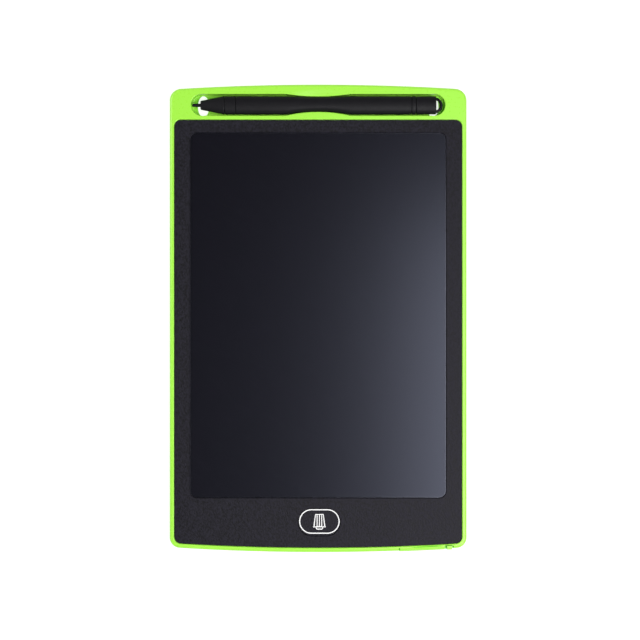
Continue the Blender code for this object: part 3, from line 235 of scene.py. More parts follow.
class DrawerSizes(bpy.types.PropertyGroup):
    """The battery drawer, its latch finger and the shell's bay for them."""

    fit: size("Fit", "Gap round the drawer's front", 0.0002)
    slit_right: size("Slit right", "Slit to the right of the latch pad", 0.0008)
    slit_left: size("Slit left", "Slit to the left of the latch pad", 0.0014)
    slit_top: size("Slit top", "Slit over the latch pad", 0.0004)
    slit_corner: size("Slit corner", "Corner radius of the slit", 0.0007)
    slit_lip: size("Slit lip", "Rounding of the slit's edge", 0.0001)
    front_depth: size("Front depth", "How far the drawer's front reaches behind the rim", 0.00225)
    pad_left: size("Pad left", "Latch pad to the left of its finger", 0.0020)
    pad_right: size("Pad right", "Latch pad to the right of its finger", 0.0003)
    pad_depth: size("Pad depth", "Latch pad behind the pocket's edge", 0.0010)
    beam: size("Finger", "Thickness of the latch finger", 0.0012)
    beam_gap: size("Finger gap", "Gap at the latch finger's root", 0.0003)
    barb_depth: size("Barb depth", "How far the barb stands out", 0.0006)
    barb_length: size("Barb length", "Length of the barb", 0.0018)
    barb_gap: size("Barb gap", "Barb behind the drawer's front", 0.0021)
    lug: size("Lug", "Length of the lug that carries the finger", 0.0050)
    wall: size("Wall", "Wall of the frame round the cell", 0.00075)
    cell_gap: size("Cell gap", "Gap round the cell", 0.0002)
    tray_floor: size("Tray floor", "Floor of the drawer", 0.0005)
    slot: size("Contact slot", "Width of the slot for the lower contact", 0.0060)
    slot_reach: size("Slot reach", "How far the slot passes the cell's middle", 0.0040)
    side_gap: size("Side gap", "Gap beside the drawer's frame", 0.0003)
    bay_gap: size("Bay gap", "Gap under the drawer", 0.00015)
    guide: size("Guide", "Thickness of the walls that guide the drawer", 0.0012)
    bay_end: size("Bay end", "Room behind the drawer for the contact", 0.00095)
    groove_length: size("Nail groove length", "Length of the nail groove", 0.0155)
    groove_width: size("Nail groove width", "Width of the nail groove", 0.00055)
    groove_depth: size("Nail groove depth", "Depth of the nail groove", 0.0012)
    groove_gap: size("Nail groove gap", "Nail groove from the slit", 0.0004)
    groove_inset: size("Nail groove inset", "Nail groove from the panel's pocket", 0.0006)
    shelf_room: size("Shelf room", "Room between the finger and the shell's shelf", 0.0001)
    shelf: size("Shelf", "Thickness of the shell's shelf", 0.0003)
    shelf_gap: size("Shelf gap", "Gap between the latch pad and the shelves", 0.00015)
    barb_room: size("Barb room", "Room beside the barb on its way out", 0.0004)
    tray_shelf: size("Tray shelf", "Top of the drawer's own shelf beside the latch pad", 0.0022)
    pad_travel: size("Pad travel", "Room for the latch pad's way", 0.0009)
    proud: size("Proud", "How far the drawer's front stands out of the rim", 0.00035)
    pad_proud: size("Pad proud", "How far the latch pad stands out of the rim", 0.0006)
    seam_width: size("Seam width", "Width of the notch over the drawer's left end", 0.0006)
    seam_depth: size("Seam depth", "Depth of the notch over the drawer's left end", 0.0016)
    seam_inset: size("Seam inset", "Notch behind the rim's outer edge", 0.0009)
    cell_rim: size("Cell rim", "Rounding of the cell's edges", 0.00035)
    cell_step: size("Cell step", "Step between the cell's can and its lower pole", 0.0012)


class StylusSizes(bpy.types.PropertyGroup):
    """The stylus, from nib to lanyard loop."""

    power: share("Section power", "2 is an ellipse, more is squarer", 2.3)
    front_radius: size("Nose front", "Radius of the nose's front face", 0.00215)
    shoulder: size("Shoulder", "Straight length behind the nose cone", 0.0006)
    edge_round: size("Edge rounding", "Rounding of the mouldings' ends", 0.00025)
    nib_tip: size("Nib tip", "Radius of the nib's tip", 0.00082)
    nib_gap: size("Nib gap", "Gap round the nib's stem", 0.0002)
    seam: size("Seam", "Gap between the mouldings", 0.00014)
    seat: size("Seat", "How far the stylus lies towards the screen in its trough", 0.0003)
    collar: size("Collar", "First groove from the barrel's front", 0.0053)
    band: size("Band", "Last groove from the barrel's end", 0.0021)
    groove_width: size("Groove width", "Width of the grooves round the barrel", 0.00045)
    groove_depth: size("Groove depth", "Depth of the grooves round the barrel", 0.00032)
    waist_gap: size("Waist gap", "Gap between the waist and the trough's bulges", 0.00015)
    spigot: size("Spigot", "Length of the spigots inside the barrel", 0.0030)
    spigot_width: size("Spigot width", "Width of the spigots", 0.0050)
    spigot_height: size("Spigot height", "Height of the spigots", 0.0032)
    spigot_gap: size("Spigot gap", "Gap round the spigots", 0.0002)
    loop_reach: size("Loop reach", "How far the lanyard loop stands out", 0.00325)
    loop_radius: size("Loop radius", "Outer radius of the lanyard loop", 0.0038)
    loop_bar: size("Loop bar", "Thickness of the lanyard loop", 0.0014)


class LockSizes(bpy.types.PropertyGroup):
    """The erase lock's slider in the back, and its recess."""

    travel: size("Travel", "How far the slider moves", 0.0020)
    recess_depth: size("Recess depth", "Depth of the slider's recess", 0.0005)
    recess_gap: size("Recess gap", "Gap round the slider's pad", 0.0003)
    pad_thickness: size("Pad thickness", "Thickness of the slider's pad", 0.00035)
    neck_length: size("Neck length", "Length of the slider's neck", 0.0020)
    neck_width: size("Neck width", "Width of the slider's neck", 0.0016)
    fit: size("Fit", "Gap round the neck", 0.0002)
    ridges: number("Ridges", "Grip ridges on the slider's pad", 5)
    ridge_width: size("Ridge width", "Width of a grip ridge", 0.00030)
    ridge_height: size("Ridge height", "Height of a grip ridge", 0.00008)


class CircuitSizes(bpy.types.PropertyGroup):
    """The circuit board's screws, their standoffs and the chip's leads."""

    screw_inset: size("Screw inset", "Screws from the board's edges", 0.0023)
    screw_head: size("Screw head", "Radius of a screw's head", 0.0012)
    screw_height: size("Screw height", "Height of a screw's head", 0.0004)
    screw_shank: size("Screw shank", "Radius of a screw's shank", 0.0006)
    head_gap: size("Head gap", "Gap under a screw's head", 0.00005)
    screw_gap: size("Screw gap", "Gap round a screw's shank", 0.0002)
    standoff: size("Standoff", "Radius of the standoffs under the board", 0.0018)
    slot_width: size("Slot width", "Width of the cross in a screw's head", 0.0003)
    leads: number("Leads", "Leads on each side of the chip", 4)
    lead_width: size("Lead width", "Width of a lead", 0.0004)
    lead_reach: size("Lead reach", "How far a lead stands out", 0.0009)
    lead_thickness: size("Lead thickness", "Thickness of a lead", 0.00012)


class Colours(bpy.types.PropertyGroup):
    """The colours that show."""

    lime: tint("Lime", "The shell's plastic", (0.385, 0.89, 0.068))
    panel: tint("Panel", "The textured panel", (0.0062, 0.0057, 0.0096))
    film: tint("Film", "The dark writing film", (0.0035, 0.0035, 0.0055))
    stylus: tint("Stylus", "The stylus's plastic", (0.0055, 0.0053, 0.0068))
    ink: tint("Ink", "The print on the button", (0.95, 0.95, 0.95))


class Studio(bpy.types.PropertyGroup):
    """The camera, the lights, the floor and the surroundings."""

    lens: share("Lens", "Focal length", 100, unit="CAMERA")
    field: size("Field", "Width of the view at the shell's rim", 0.3096)
    centre_x: size("Centre X", "Middle of the view, to the right", 0.00089)
    centre_y: size("Centre Y", "Middle of the view, upwards", -0.00079)
    softbox_power: share("Softbox power", "The light that the film reflects", 12.5, unit="POWER")
    softbox_height: size("Softbox height", "Height of the big light", 0.95)
    softbox_left: size("Softbox left", "Left edge of the big light", 0.12)
    softbox_top: size("Softbox top", "Upper edge of the big light", 0.11)
    softbox_width: size("Softbox width", "The light's size along X", 0.7)
    softbox_length: size("Softbox length", "The light's size along Y", 0.85)
    key_power: share("Key power", "The light from the left", 6.4, unit="POWER")
    key_size: size("Key size", "The size of the light from the left", 0.6)
    key_place: spot("Key place", "Where the light from the left stands", (-0.9, 0.35, 0.8))
    horizon: share("Horizon", "Brightness of the surroundings low down", 0.5)
    zenith: share("Zenith", "Brightness of the surroundings overhead", 0.04)
    floor_side: size("Floor side", "Length of the floor's sides", 4.0)
    floor_gap: size("Floor gap", "Floor below the tablet's back", 0.0002)
    floor_glow: share("Floor glow", "Light given off by the floor", 0.8)


class Edge(NamedTuple):
    """A rounded rectangle, even about x = 0, whose top and bottom may bow outwards.

    An arc of 0 stands for a straight edge.
    """

    half_width: float
    top: float
    bottom: float
    top_corner: float
    bottom_corner: float
    top_arc: float = 0
    bottom_arc: float = 0


def inset(edge, by):
    """The same edge, moved inwards all round."""
    return Edge(
        edge.half_width - by,
        edge.top - by,
        edge.bottom + by,
        edge.top_corner - by,
        edge.bottom_corner - by,
        edge.top_arc and edge.top_arc - by,
        edge.bottom_arc and edge.bottom_arc - by,
    )


def spread(start, end, steps):
    """Evenly spaced values from start to end, both included."""
    return [start + (end - start) * step / steps for step in range(steps + 1)]


def arc(x, y, radius, start, end, steps):
    """Points along a circle's arc."""
    return [(x + radius * cos(turn), y + radius * sin(turn)) for turn in spread(start, end, steps)]


def corner(half_width, radius, edge_arc):
    """Where a bowed edge turns into its corner.

    Gives the turn from the edge's crown to there, and how deep the corner's centre lies under it.
    """
    if not edge_arc:
        return 0, radius
    turn = asin((half_width - radius) / (edge_arc - radius))
    return turn, edge_arc - (edge_arc - radius) * cos(turn)


def outline(edge):
    """The points of an edge, anticlockwise."""
    low_turn, low_depth = corner(edge.half_width, edge.bottom_corner, edge.bottom_arc)
    high_turn, high_depth = corner(edge.half_width, edge.top_corner, edge.top_arc)
    x, y, radius = edge.half_width - edge.bottom_corner, edge.bottom + low_depth, edge.bottom_corner
    right = arc(x, y, radius, low_turn - pi / 2, 0, CORNER_STEPS)
    x, y, radius = edge.half_width - edge.top_corner, edge.top - high_depth, edge.top_corner
    right += arc(x, y, radius, 0, pi / 2 - high_turn, CORNER_STEPS)
    left = [(-x, y) for x, y in reversed(right)]
    below, above = [], []
    if edge.bottom_arc:
        start, centre = -pi / 2 - low_turn, edge.bottom + edge.bottom_arc
        below = arc(0, centre, edge.bottom_arc, start, start + 2 * low_turn, EDGE_STEPS)
    if edge.top_arc:
        start, centre = pi / 2 - high_turn, edge.top - edge.top_arc
        above = arc(0, centre, edge.top_arc, start, start + 2 * high_turn, EDGE_STEPS)
    return below[1:-1] + right + above[1:-1] + left


def moved(points, x, y):
    return [(px + x, py + y) for px, py in points]


def ellipse(length, width, steps=ROUND_SIDES):
    turns = spread(0, 2 * pi, steps)[:-1]
    return [(length / 2 * cos(turn), width / 2 * sin(turn)) for turn in turns]


def circle(radius, steps=ROUND_SIDES):
    return ellipse(2 * radius, 2 * radius, steps)


def stadium(length, width):
    """A slot with round ends, along X."""
    radius = width / 2
    right = arc(length / 2 - radius, 0, radius, -pi / 2, pi / 2, END_STEPS)
    return right + [(-x, -y) for x, y in right]


def rectangle(x_low, x_high, y_low, y_high):
    return [(x_low, y_low), (x_high, y_low), (x_high, y_high), (x_low, y_high)]


def level(points, z):
    return [(x, y, z) for x, y in points]


def prism(points, low, high):
    """The rings of an upright solid."""
    return [level(points, low), level(points, high)]


def block(x_low, x_high, y_low, y_high, z_low, z_high):
    """The rings of a box."""
    return prism(rectangle(x_low, x_high, y_low, y_high), z_low, z_high)


def foot_levels(low, radius, steps=LIP_STEPS):
    """Heights up from a wall's rounded foot, each with how far the wall is drawn in there."""
    turns = spread(0, pi / 2, steps)
    return [(low + radius * (1 - cos(turn)), radius * (1 - sin(turn))) for turn in turns]


def top_levels(high, radius, steps=LIP_STEPS):
    """Heights up to a wall's rounded top, each with how far the wall is drawn in there."""
    turns = spread(0, pi / 2, steps)
    return [(high - radius * (1 - sin(turn)), radius * (1 - cos(turn))) for turn in turns]


def wall_levels(low, high, low_fillet, high_fillet):
    """The heights up a wall that is rounded at its foot and at its top."""
    return foot_levels(low, low_fillet, FILLET_STEPS) + top_levels(high, high_fillet, FILLET_STEPS)


def lip_levels(top, radius):
    """Heights up a cutter that leaves a rounded lip, each with how far the cutter widens there."""
    return top_levels(top, radius) + [(top + OVERRUN, radius)]


def bowl(length, width, depth, soft=False):
    """The rings of a shallow bowl, its rim a little above the origin. A soft one has no edge."""
    rings = []
    for part in spread(1 / BOWL_STEPS, 1, BOWL_STEPS):
        deep = (1 + cos(pi * part)) / 2 if soft else (1 - part**2) ** 0.5
        rings.append(level(ellipse(length * part, width * part), -depth * deep))
    return rings + [level(ellipse(length, width), OVERRUN)]


def shifted(rings, place):
    """Rings carried to a place."""
    x, y, z = place
    return [[(px + x, py + y, pz + z) for px, py, pz in ring] for ring in rings]


def mesh_of(name, lofts):
    """A mesh of closed solids, each a loft through rings of equally many points."""
    shape = bmesh.new()
    for rings in lofts:
        loops = [[shape.verts.new(point) for point in ring] for ring in rings]
        count = len(loops[0])
        for first, second in zip(loops, loops[1:]):
            for index in range(count):
                after = (index + 1) % count
                shape.faces.new((first[index], first[after], second[after], second[index]))
        shape.faces.new(reversed(loops[0]))
        shape.faces.new(loops[-1])
    bmesh.ops.recalc_face_normals(shape, faces=shape.faces)
    mesh = bpy.data.meshes.new(name)
    shape.to_mesh(mesh)
    shape.free()
    return mesh


def add_object(name, mesh):
    piece = bpy.data.objects.new(name, mesh)
    bpy.context.scene.collection.objects.link(piece)
    return piece


def add_solid(name, *lofts):
    return add_object(name, mesh_of(name, lofts))


def settle(piece):
    """Makes what a piece's modifiers show its mesh, and removes them and their tools."""
    graph = bpy.context.evaluated_depsgraph_get()
    mesh = bpy.data.meshes.new_from_object(piece.evaluated_get(graph), depsgraph=graph)
    tools = [modifier.object for modifier in piece.modifiers if modifier.type == "BOOLEAN"]
    piece.modifiers.clear()
    for tool in set(tools):
        bpy.data.objects.remove(tool)
    piece.data = mesh
    mesh.name = piece.name


def combine(piece, operation, *lofts):
    """Cuts lofts from the piece, joins them to it or keeps only what they share."""
    modifier = piece.modifiers.new(operation, "BOOLEAN")
    modifier.operation = operation
    modifier.object = add_solid(piece.name + "_tool", *lofts)


def cut(piece, *lofts):
    combine(piece, "DIFFERENCE", *lofts)


def join(piece, *lofts):
    combine(piece, "UNION", *lofts)


def polish(piece, finish):
    """Gives a piece its finish, smooth round faces and level flat ones."""
    settle(piece)
    mesh = piece.data
    mesh.materials.clear()
    mesh.materials.append(bpy.data.materials[finish])
    mesh.shade_smooth()
    mesh.set_sharp_from_angle(angle=SHARP_ANGLE)
    levelled = piece.modifiers.new("levelled", "WEIGHTED_NORMAL")
    levelled.keep_sharp = True
    settle(piece)


def complete(piece, finish, body, slot, *nodes):
    """Polishes a piece, puts it on its body, and hides the nodes that it replaces."""
    polish(piece, finish)
    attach(piece, body)
    if nodes:
        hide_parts(*nodes)


def add(tree, kind, inputs=None, **settings):
    """Adds a node with its settings, and feeds its inputs from sockets, nodes or plain values."""
    made = tree.nodes.new(kind)
    for name, value in settings.items():
        setattr(made, name, value)
    for key, value in (inputs or {}).items():
        if isinstance(value, bpy.types.Node):
            value = value.outputs[0]
        if isinstance(value, bpy.types.NodeSocket):
            tree.links.new(value, made.inputs[key])
        else:
            made.inputs[key].default_value = value
    return made


def calc(tree, operation, first, second=0, third=0):
    """A sum or function of one to three values."""
    inputs = {0: first, 1: second, 2: third}
    return add(tree, "ShaderNodeMath", inputs, operation=operation).outputs[0]


def ramp(tree, value, low, high, start=0.0, end=1.0):
    """A value carried from one range to another, and held at its ends."""
    inputs = {"Value": value, "From Min": low, "From Max": high, "To Min": start, "To Max": end}
    return add(tree, "ShaderNodeMapRange", inputs).outputs[0]


def mixed(tree, amount, first, second):
    """A colour between two, given as linear triples or sockets."""
    first, second = ((*c, 1) if isinstance(c, tuple) else c for c in (first, second))
    return add(tree, "ShaderNodeMix", {0: amount, 6: first, 7: second}, data_type="RGBA").outputs[2]


def noise(tree, place, grain, detail=3):
    """Noise whose features are about as large as grain."""
    inputs = {"Vector": place, "Scale": 1 / grain, "Detail": detail}
    return add(tree, "ShaderNodeTexNoise", inputs).outputs[0]


def shaded(colour, amount):
    return tuple(min(1, channel * amount) for channel in colour)


class Finish:
    """A material in the making: its tree, its shader and the coordinates of its patterns."""

    def __init__(self, name, turn=0.0, stretch=(1, 1, 1), centre=(0, 0, 0)):
        self.material = bpy.data.materials.new(name)
        self.material.use_nodes = True
        self.tree = self.material.node_tree
        self.shader = self.tree.nodes["Principled BSDF"]
        inputs = {0: add(self.tree, "ShaderNodeTexCoord").outputs["Object"], 1: centre}
        centred = add(self.tree, "ShaderNodeVectorMath", inputs, operation="SUBTRACT")
        mapping = {"Vector": centred, "Rotation": (0, 0, turn), "Scale": stretch}
        self.place = add(self.tree, "ShaderNodeMapping", mapping).outputs[0]

    def paint(self, colour):
        self.set("Base Color", colour)

    def set(self, socket, value):
        """Sets a shader socket to a plain value, or links it."""
        if isinstance(value, bpy.types.NodeSocket):
            self.tree.links.new(value, self.shader.inputs[socket])
        else:
            self.shader.inputs[socket].default_value = value

    def noise(self, grain, detail=3):
        """Noise on the piece, with features about as large as grain."""
        return noise(self.tree, self.place, grain, detail)

    def drift(self, colour, other, patch):
        """Colour that drifts between two tones over patches."""
        self.paint(mixed(self.tree, self.noise(patch), colour, other))

    def roughen(self, pattern, smooth, rough, low=0.3, high=0.7):
        """Roughness that goes from smooth to rough while a pattern goes from low to high."""
        self.set("Roughness", ramp(self.tree, pattern, low, high, smooth, rough))

    def shine(self, amount, tinge=(1, 1, 1)):
        """How strongly the surface reflects, and the tinge of what it reflects."""
        self.set("Specular IOR Level", amount)
        self.set("Specular Tint", (*tinge, 1))

    def relief(self, height, depth):
        """Relief of a given depth from a height of 0 to 1."""
        bump = add(self.tree, "ShaderNodeBump", {"Height": height, "Distance": depth})
        self.set("Normal", bump.outputs[0])


def moulded(
    name, colour, roughness, grain, depth, metallic=0.0, variation=0.9, patch=0.02, **mapping
):
    """Plain moulded plastic or worked metal: drifting tone, uneven gloss and a fine grain."""
    made = Finish(name, **mapping)
    made.drift(colour, shaded(colour, variation), patch)
    made.roughen(made.noise(3 * grain), roughness - 0.05, roughness + 0.05, low=0.25, high=0.75)
    made.relief(made.noise(grain), depth)
    made.set("Metallic", metallic)
    return made


def lime_finish(colours):
    """Satin lime plastic with a fine spark-eroded grain."""
    return moulded(
        "lime plastic", tuple(colours.lime),
        roughness=0.30, grain=0.00035, depth=0.000005, variation=0.975,
    )


def panel_finish(colours):
    """Black plastic with a leathery texture of slanted grains."""
    made = Finish("textured black", turn=radians(35), stretch=(1, 0.8, 1))
    colour = tuple(colours.panel)
    coarse, fine = made.noise(0.0008, detail=2), made.noise(0.00035)
    both = calc(made.tree, "MULTIPLY_ADD", coarse, 0.7, calc(made.tree, "MULTIPLY", fine, 0.3))
    grains = ramp(made.tree, both, 0.38, 0.62)
    made.paint(mixed(made.tree, grains, shaded(colour, 0.2), shaded(colour, 2.0)))
    made.roughen(coarse, 0.44, 0.60)
    made.shine(0.215, tinge=(0.95, 0.93, 1.0))
    made.relief(both, depth=0.00018)
    return made


def film_finish(colours):
    """The writing film: dark and glossy, with a bloom of colour and fine wear from the stylus."""
    made = Finish("writing film")
    colour = tuple(colours.film)
    made.drift(colour, (colour[0] * 1.3, colour[1], colour[2] * 1.2), patch=0.006)
    slant, per_metre = (0, 0, 0.6), (60, 900, 1)
    turned = add(made.tree, "ShaderNodeMapping", {"Vector": made.place, "Rotation": slant})
    stretched = add(made.tree, "ShaderNodeMapping", {"Vector": turned, "Scale": per_metre})
    scratches = noise(made.tree, stretched, grain=1, detail=2)
    made.roughen(scratches, 0.235, 0.26, low=0.5, high=0.9)
    made.relief(made.noise(0.0008, detail=1), depth=0.000003)
    made.shine(0.485, tinge=(0.72, 0.77, 1.0))
    return made


def seal_finish(colours):
    """The clear glue line at the film's edge: as dark as the film, but shinier."""
    made = moulded(
        "seal", tuple(colours.film),
        roughness=0.22, grain=0.0004, depth=0.000002, variation=1.3, patch=0.003,
    )
    made.shine(0.85, tinge=(0.77, 0.80, 1.0))
    return made


def stylus_finish(colours):
    """Satin black plastic, patchy from handling."""
    made = moulded(
        "stylus plastic", tuple(colours.stylus),
        roughness=0.44, grain=0.0004, depth=0.000012, variation=1.5, patch=0.004,
    )
    made.shine(0.185)
    return made


def ink_finish(colours):
    """White print, a little uneven at its grain."""
    return moulded(
        "white print", tuple(colours.ink),
        roughness=0.55, grain=0.0002, depth=0.000002, variation=0.98, patch=0.001,
    )


def circuit_finish():
    """Green solder mask over copper tracks."""
    made = Finish("circuit board")
    inputs = {"Vector": made.place, "Scale": 420}
    cells = add(made.tree, "ShaderNodeTexVoronoi", inputs, distance="MANHATTAN")
    folded = calc(made.tree, "PINGPONG", cells.outputs["Distance"], 0.16)
    tracks = ramp(made.tree, folded, 0.05, 0.07)
    made.paint(mixed(made.tree, tracks, (0.006, 0.075, 0.03), (0.012, 0.15, 0.055)))
    made.roughen(made.noise(0.002), 0.25, 0.4)
    made.relief(tracks, depth=0.00003)
    return made


def capacitor_finish(name, centre, half):
    """A tan ceramic body between two tinned ends."""
    made = Finish(name, centre=centre)
    along = add(made.tree, "ShaderNodeSeparateXYZ", {0: made.place}).outputs["X"]
    tinned = ramp(made.tree, calc(made.tree, "ABSOLUTE", along), half * 0.52, half * 0.58)
    speckle = made.noise(0.0002)
    body = mixed(made.tree, speckle, (0.36, 0.22, 0.12), (0.28, 0.17, 0.09))
    made.paint(mixed(made.tree, tinned, body, (0.62, 0.62, 0.60)))
    made.set("Metallic", tinned)
    made.roughen(speckle, 0.35, 0.55)
    made.relief(speckle, depth=0.00001)
    return made


def flex_finish():
    """Amber film over straight copper tracks."""
    made = Finish("amber flex")
    inputs = {"Vector": made.place, "Scale": 190, "Distortion": 0}
    wave = add(made.tree, "ShaderNodeTexWave", inputs)
    tracks = ramp(made.tree, wave.outputs["Fac"], 0.4, 0.6)
    made.paint(mixed(made.tree, tracks, (0.42, 0.17, 0.025), (0.60, 0.30, 0.10)))
    made.roughen(made.noise(0.001), 0.28, 0.40)
    made.relief(tracks, depth=0.00003)
    return made


def steel_finish(name, colour, centre=(0, 0, 0)):
    """Turned steel: fine rings about a centre, and a few marks."""
    made = Finish(name, centre=centre)
    inputs = {"Vector": made.place, "Scale": 1800, "Distortion": 1.5, "Detail": 2}
    wave = add(made.tree, "ShaderNodeTexWave", inputs, wave_type="RINGS", rings_direction="Z")
    rings = wave.outputs["Fac"]
    made.drift(colour, shaded(colour, 0.82), patch=0.003)
    made.roughen(rings, 0.22, 0.34, low=0, high=1)
    made.relief(rings, depth=0.000002)
    made.set("Metallic", 1.0)
    return made


def geometry_tree(name, sockets):
    """A Geometry Nodes tree with named inputs, and the sockets that feed it."""
    tree = bpy.data.node_groups.new(name, "GeometryNodeTree")
    tree.interface.new_socket("Geometry", in_out="INPUT", socket_type="NodeSocketGeometry")
    for label, kind in sockets.items():
        tree.interface.new_socket(label, in_out="INPUT", socket_type="NodeSocket" + kind)
    tree.interface.new_socket("Material", in_out="INPUT", socket_type="NodeSocketMaterial")
    tree.interface.new_socket("Geometry", in_out="OUTPUT", socket_type="NodeSocketGeometry")
    return tree, tree.nodes.new("NodeGroupInput").outputs


def end_tree(tree, given, geometry):
    """Ends a tree in real, coloured geometry."""
    real = add(tree, "GeometryNodeRealizeInstances", {0: geometry})
    inputs = {"Geometry": real, "Material": given["Material"]}
    add(tree, "NodeGroupOutput", {0: add(tree, "GeometryNodeSetMaterial", inputs)})


def grow(name, mesh, tree, finish, **values):
    """Runs a tree on a mesh, and returns the result as a plain piece."""
    piece = add_object(name, mesh)
    modifier = piece.modifiers.new(tree, "NODES")
    modifier.node_group = bpy.data.node_groups[tree]
    values["material"] = bpy.data.materials[finish]
    for item in modifier.node_group.interface.items_tree:
        key = item.name.lower().replace(" ", "_")
        if item.in_out == "INPUT" and key in values:
            modifier[item.identifier] = values[key]
    settle(piece)
    return piece


def line_mesh(name, *lines, closed=False):
    """A mesh of lines, each of points joined in a row."""
    mesh = bpy.data.meshes.new(name)
    points, edges = [], []
    for line in lines:
        first, last = len(points), len(points) + len(line) - 1
        edges += [(index, index + 1) for index in range(first, last)]
        if closed:
            edges.append((last, first))
        points += line
    mesh.from_pydata(points, edges, [])
    return mesh


def swept(tree, path, section):
    """A closed tube or strip along a path."""
    inputs = {"Curve": path, "Profile Curve": section, "Fill Caps": True}
    return add(tree, "GeometryNodeCurveToMesh", inputs)


def coordinates(tree):
    """Where each point lies."""
    return add(tree, "ShaderNodeSeparateXYZ", {0: add(tree, "GeometryNodeInputPosition")}).outputs


def oval_tree():
    """Turns a straight spine into a moulding of rounded, flattened section.

    The moulding's ends are rounded, and it may have a taper, a waist and two grooves.
    """
    lengths = (
        "Start", "End", "Half Width", "Half Height", "Power", "Tip Radius", "Taper Start",
        "Taper End", "Waist Half", "Upper Depth", "Lower Depth", "First Groove", "Second Groove",
        "Groove Width", "Groove Depth", "Edge Round",
    )
    sockets = {label: "Float" for label in lengths}
    tree, given = geometry_tree("oval moulding", {**sockets, "Sides": "Int", "Centre": "Vector"})
    spine = add(tree, "GeometryNodeMeshToCurve", {0: given["Geometry"]})
    section_size = {"Resolution": given["Sides"], "Radius": 1.0}
    tube = swept(tree, spine, add(tree, "GeometryNodeCurvePrimitiveCircle", section_size))
    x, across, up = coordinates(tree)
    tip, edge_round, groove_depth = given["Tip Radius"], given["Edge Round"], given["Groove Depth"]

    def less(first, second):
        return calc(tree, "SUBTRACT", first, second)

    def times(first, second):
        return calc(tree, "MULTIPLY", first, second)

    tapered = ramp(tree, x, given["Taper Start"], given["Taper End"])
    width = calc(tree, "MULTIPLY_ADD", tapered, less(given["Half Width"], tip), tip)
    height = calc(tree, "MULTIPLY_ADD", tapered, less(given["Half Height"], tip), tip)
    along = calc(tree, "DIVIDE", x, given["Waist Half"])
    sag = calc(tree, "MAXIMUM", less(1, times(along, along)), 0)
    above = calc(tree, "GREATER_THAN", across, 0)
    depths = less(given["Upper Depth"], given["Lower Depth"])
    depth = calc(tree, "MULTIPLY_ADD", above, depths, given["Lower Depth"])
    half_groove = times(given["Groove Width"], 0.5)
    half_floor = calc(tree, "MULTIPLY_ADD", groove_depth, -0.5, half_groove)
    grooves = []
    for label in ("First Groove", "Second Groove"):
        away = calc(tree, "ABSOLUTE", less(x, given[label]))
        grooves.append(ramp(tree, away, half_groove, half_floor, 0, groove_depth))
    nearest = calc(tree, "MINIMUM", less(x, given["Start"]), less(given["End"], x))
    past = ramp(tree, nearest, edge_round, 0)
    root = calc(tree, "SQRT", less(1, times(past, past)))
    drawn = calc(tree, "ADD", calc(tree, "MAXIMUM", *grooves), times(less(1, root), edge_round))
    width = less(less(width, drawn), times(depth, sag))
    height = less(height, drawn)
    exponent = calc(tree, "DIVIDE", 2, given["Power"])
    parts = [x]
    for direction, reach in ((across, width), (up, height)):
        bent = calc(tree, "POWER", calc(tree, "ABSOLUTE", direction), exponent)
        parts.append(times(times(calc(tree, "SIGN", direction), bent), reach))
    shaped = add(tree, "ShaderNodeCombineXYZ", dict(enumerate(parts)))
    inputs = {0: shaped, 1: given["Centre"]}
    placed = add(tree, "ShaderNodeVectorMath", inputs, operation="ADD")
    inputs = {"Geometry": tube, "Position": placed}
    end_tree(tree, given, add(tree, "GeometryNodeSetPosition", inputs))


def line_tree():
    """Lays a flat strip of print along a path."""
    tree, given = geometry_tree("printed line", {"Stroke": "Float", "Ink": "Float"})
    path = add(tree, "GeometryNodeMeshToCurve", {0: given["Geometry"]})
    upright = add(tree, "GeometryNodeSetCurveNormal", {0: path}, mode="Z_UP")
    inputs = {0: given["Stroke"], 1: given["Ink"]}
    section = add(tree, "GeometryNodeCurvePrimitiveQuadrilateral", inputs)
    end_tree(tree, given, swept(tree, upright, section))


def rows_tree():
    """Repeats a piece in rows. The rows above the middle face the rows below it."""
    whole, lengths = ("Columns", "Rows"), ("Length", "Width")
    sockets = {**dict.fromkeys(whole, "Int"), **dict.fromkeys(lengths, "Float"), "Centre": "Vector"}
    tree, given = geometry_tree("rows", sockets)
    feeds = {"Vertices X": "Columns", "Vertices Y": "Rows", "Size X": "Length", "Size Y": "Width"}
    inputs = {socket: given[label] for socket, label in feeds.items()}
    grid = add(tree, "GeometryNodeMeshGrid", inputs)
    above = calc(tree, "GREATER_THAN", coordinates(tree)["Y"], 0)
    facing = add(tree, "ShaderNodeCombineXYZ", {"Z": calc(tree, "MULTIPLY", above, pi)})
    inputs = {"Points": grid, "Instance": given["Geometry"], "Rotation": facing}
    copies = add(tree, "GeometryNodeInstanceOnPoints", inputs)
    inputs = {"Geometry": copies, "Offset": given["Centre"]}
    end_tree(tree, given, add(tree, "GeometryNodeSetPosition", inputs))


def points_tree():
    """Puts a copy of an object on each point."""
    tree, given = geometry_tree("copies on points", {"Copy": "Object"})
    copy = add(tree, "GeometryNodeObjectInfo", {0: given["Copy"], "As Instance": True})
    inputs = {"Points": given["Geometry"], "Instance": copy.outputs["Geometry"]}
    end_tree(tree, given, add(tree, "GeometryNodeInstanceOnPoints", inputs))


def middle_of(low, high):
    """The middle of a box, seen from the front."""
    return (low.x + high.x) / 2, (low.y + high.y) / 2


def spans(low, high):
    """The length and width of a box, seen from the front."""
    return high.x - low.x, high.y - low.y


def body_edge(body):
    """The shell's outline."""
    half, bowed = body.length / 2, body.edge_arc
    return Edge(body.width / 2, half, -half, body.top_corner, body.bottom_corner, bowed, bowed)


def pocket_edge(body, trough):
    """The outline of the panel's pocket."""
    top = BARREL_LOW.y - trough.below - body.rail
    low = body.rim - body.length / 2
    turned = body.pocket_corner
    return Edge(body.width / 2 - body.rim, top, low, turned, turned, 0, body.edge_arc - body.rim)


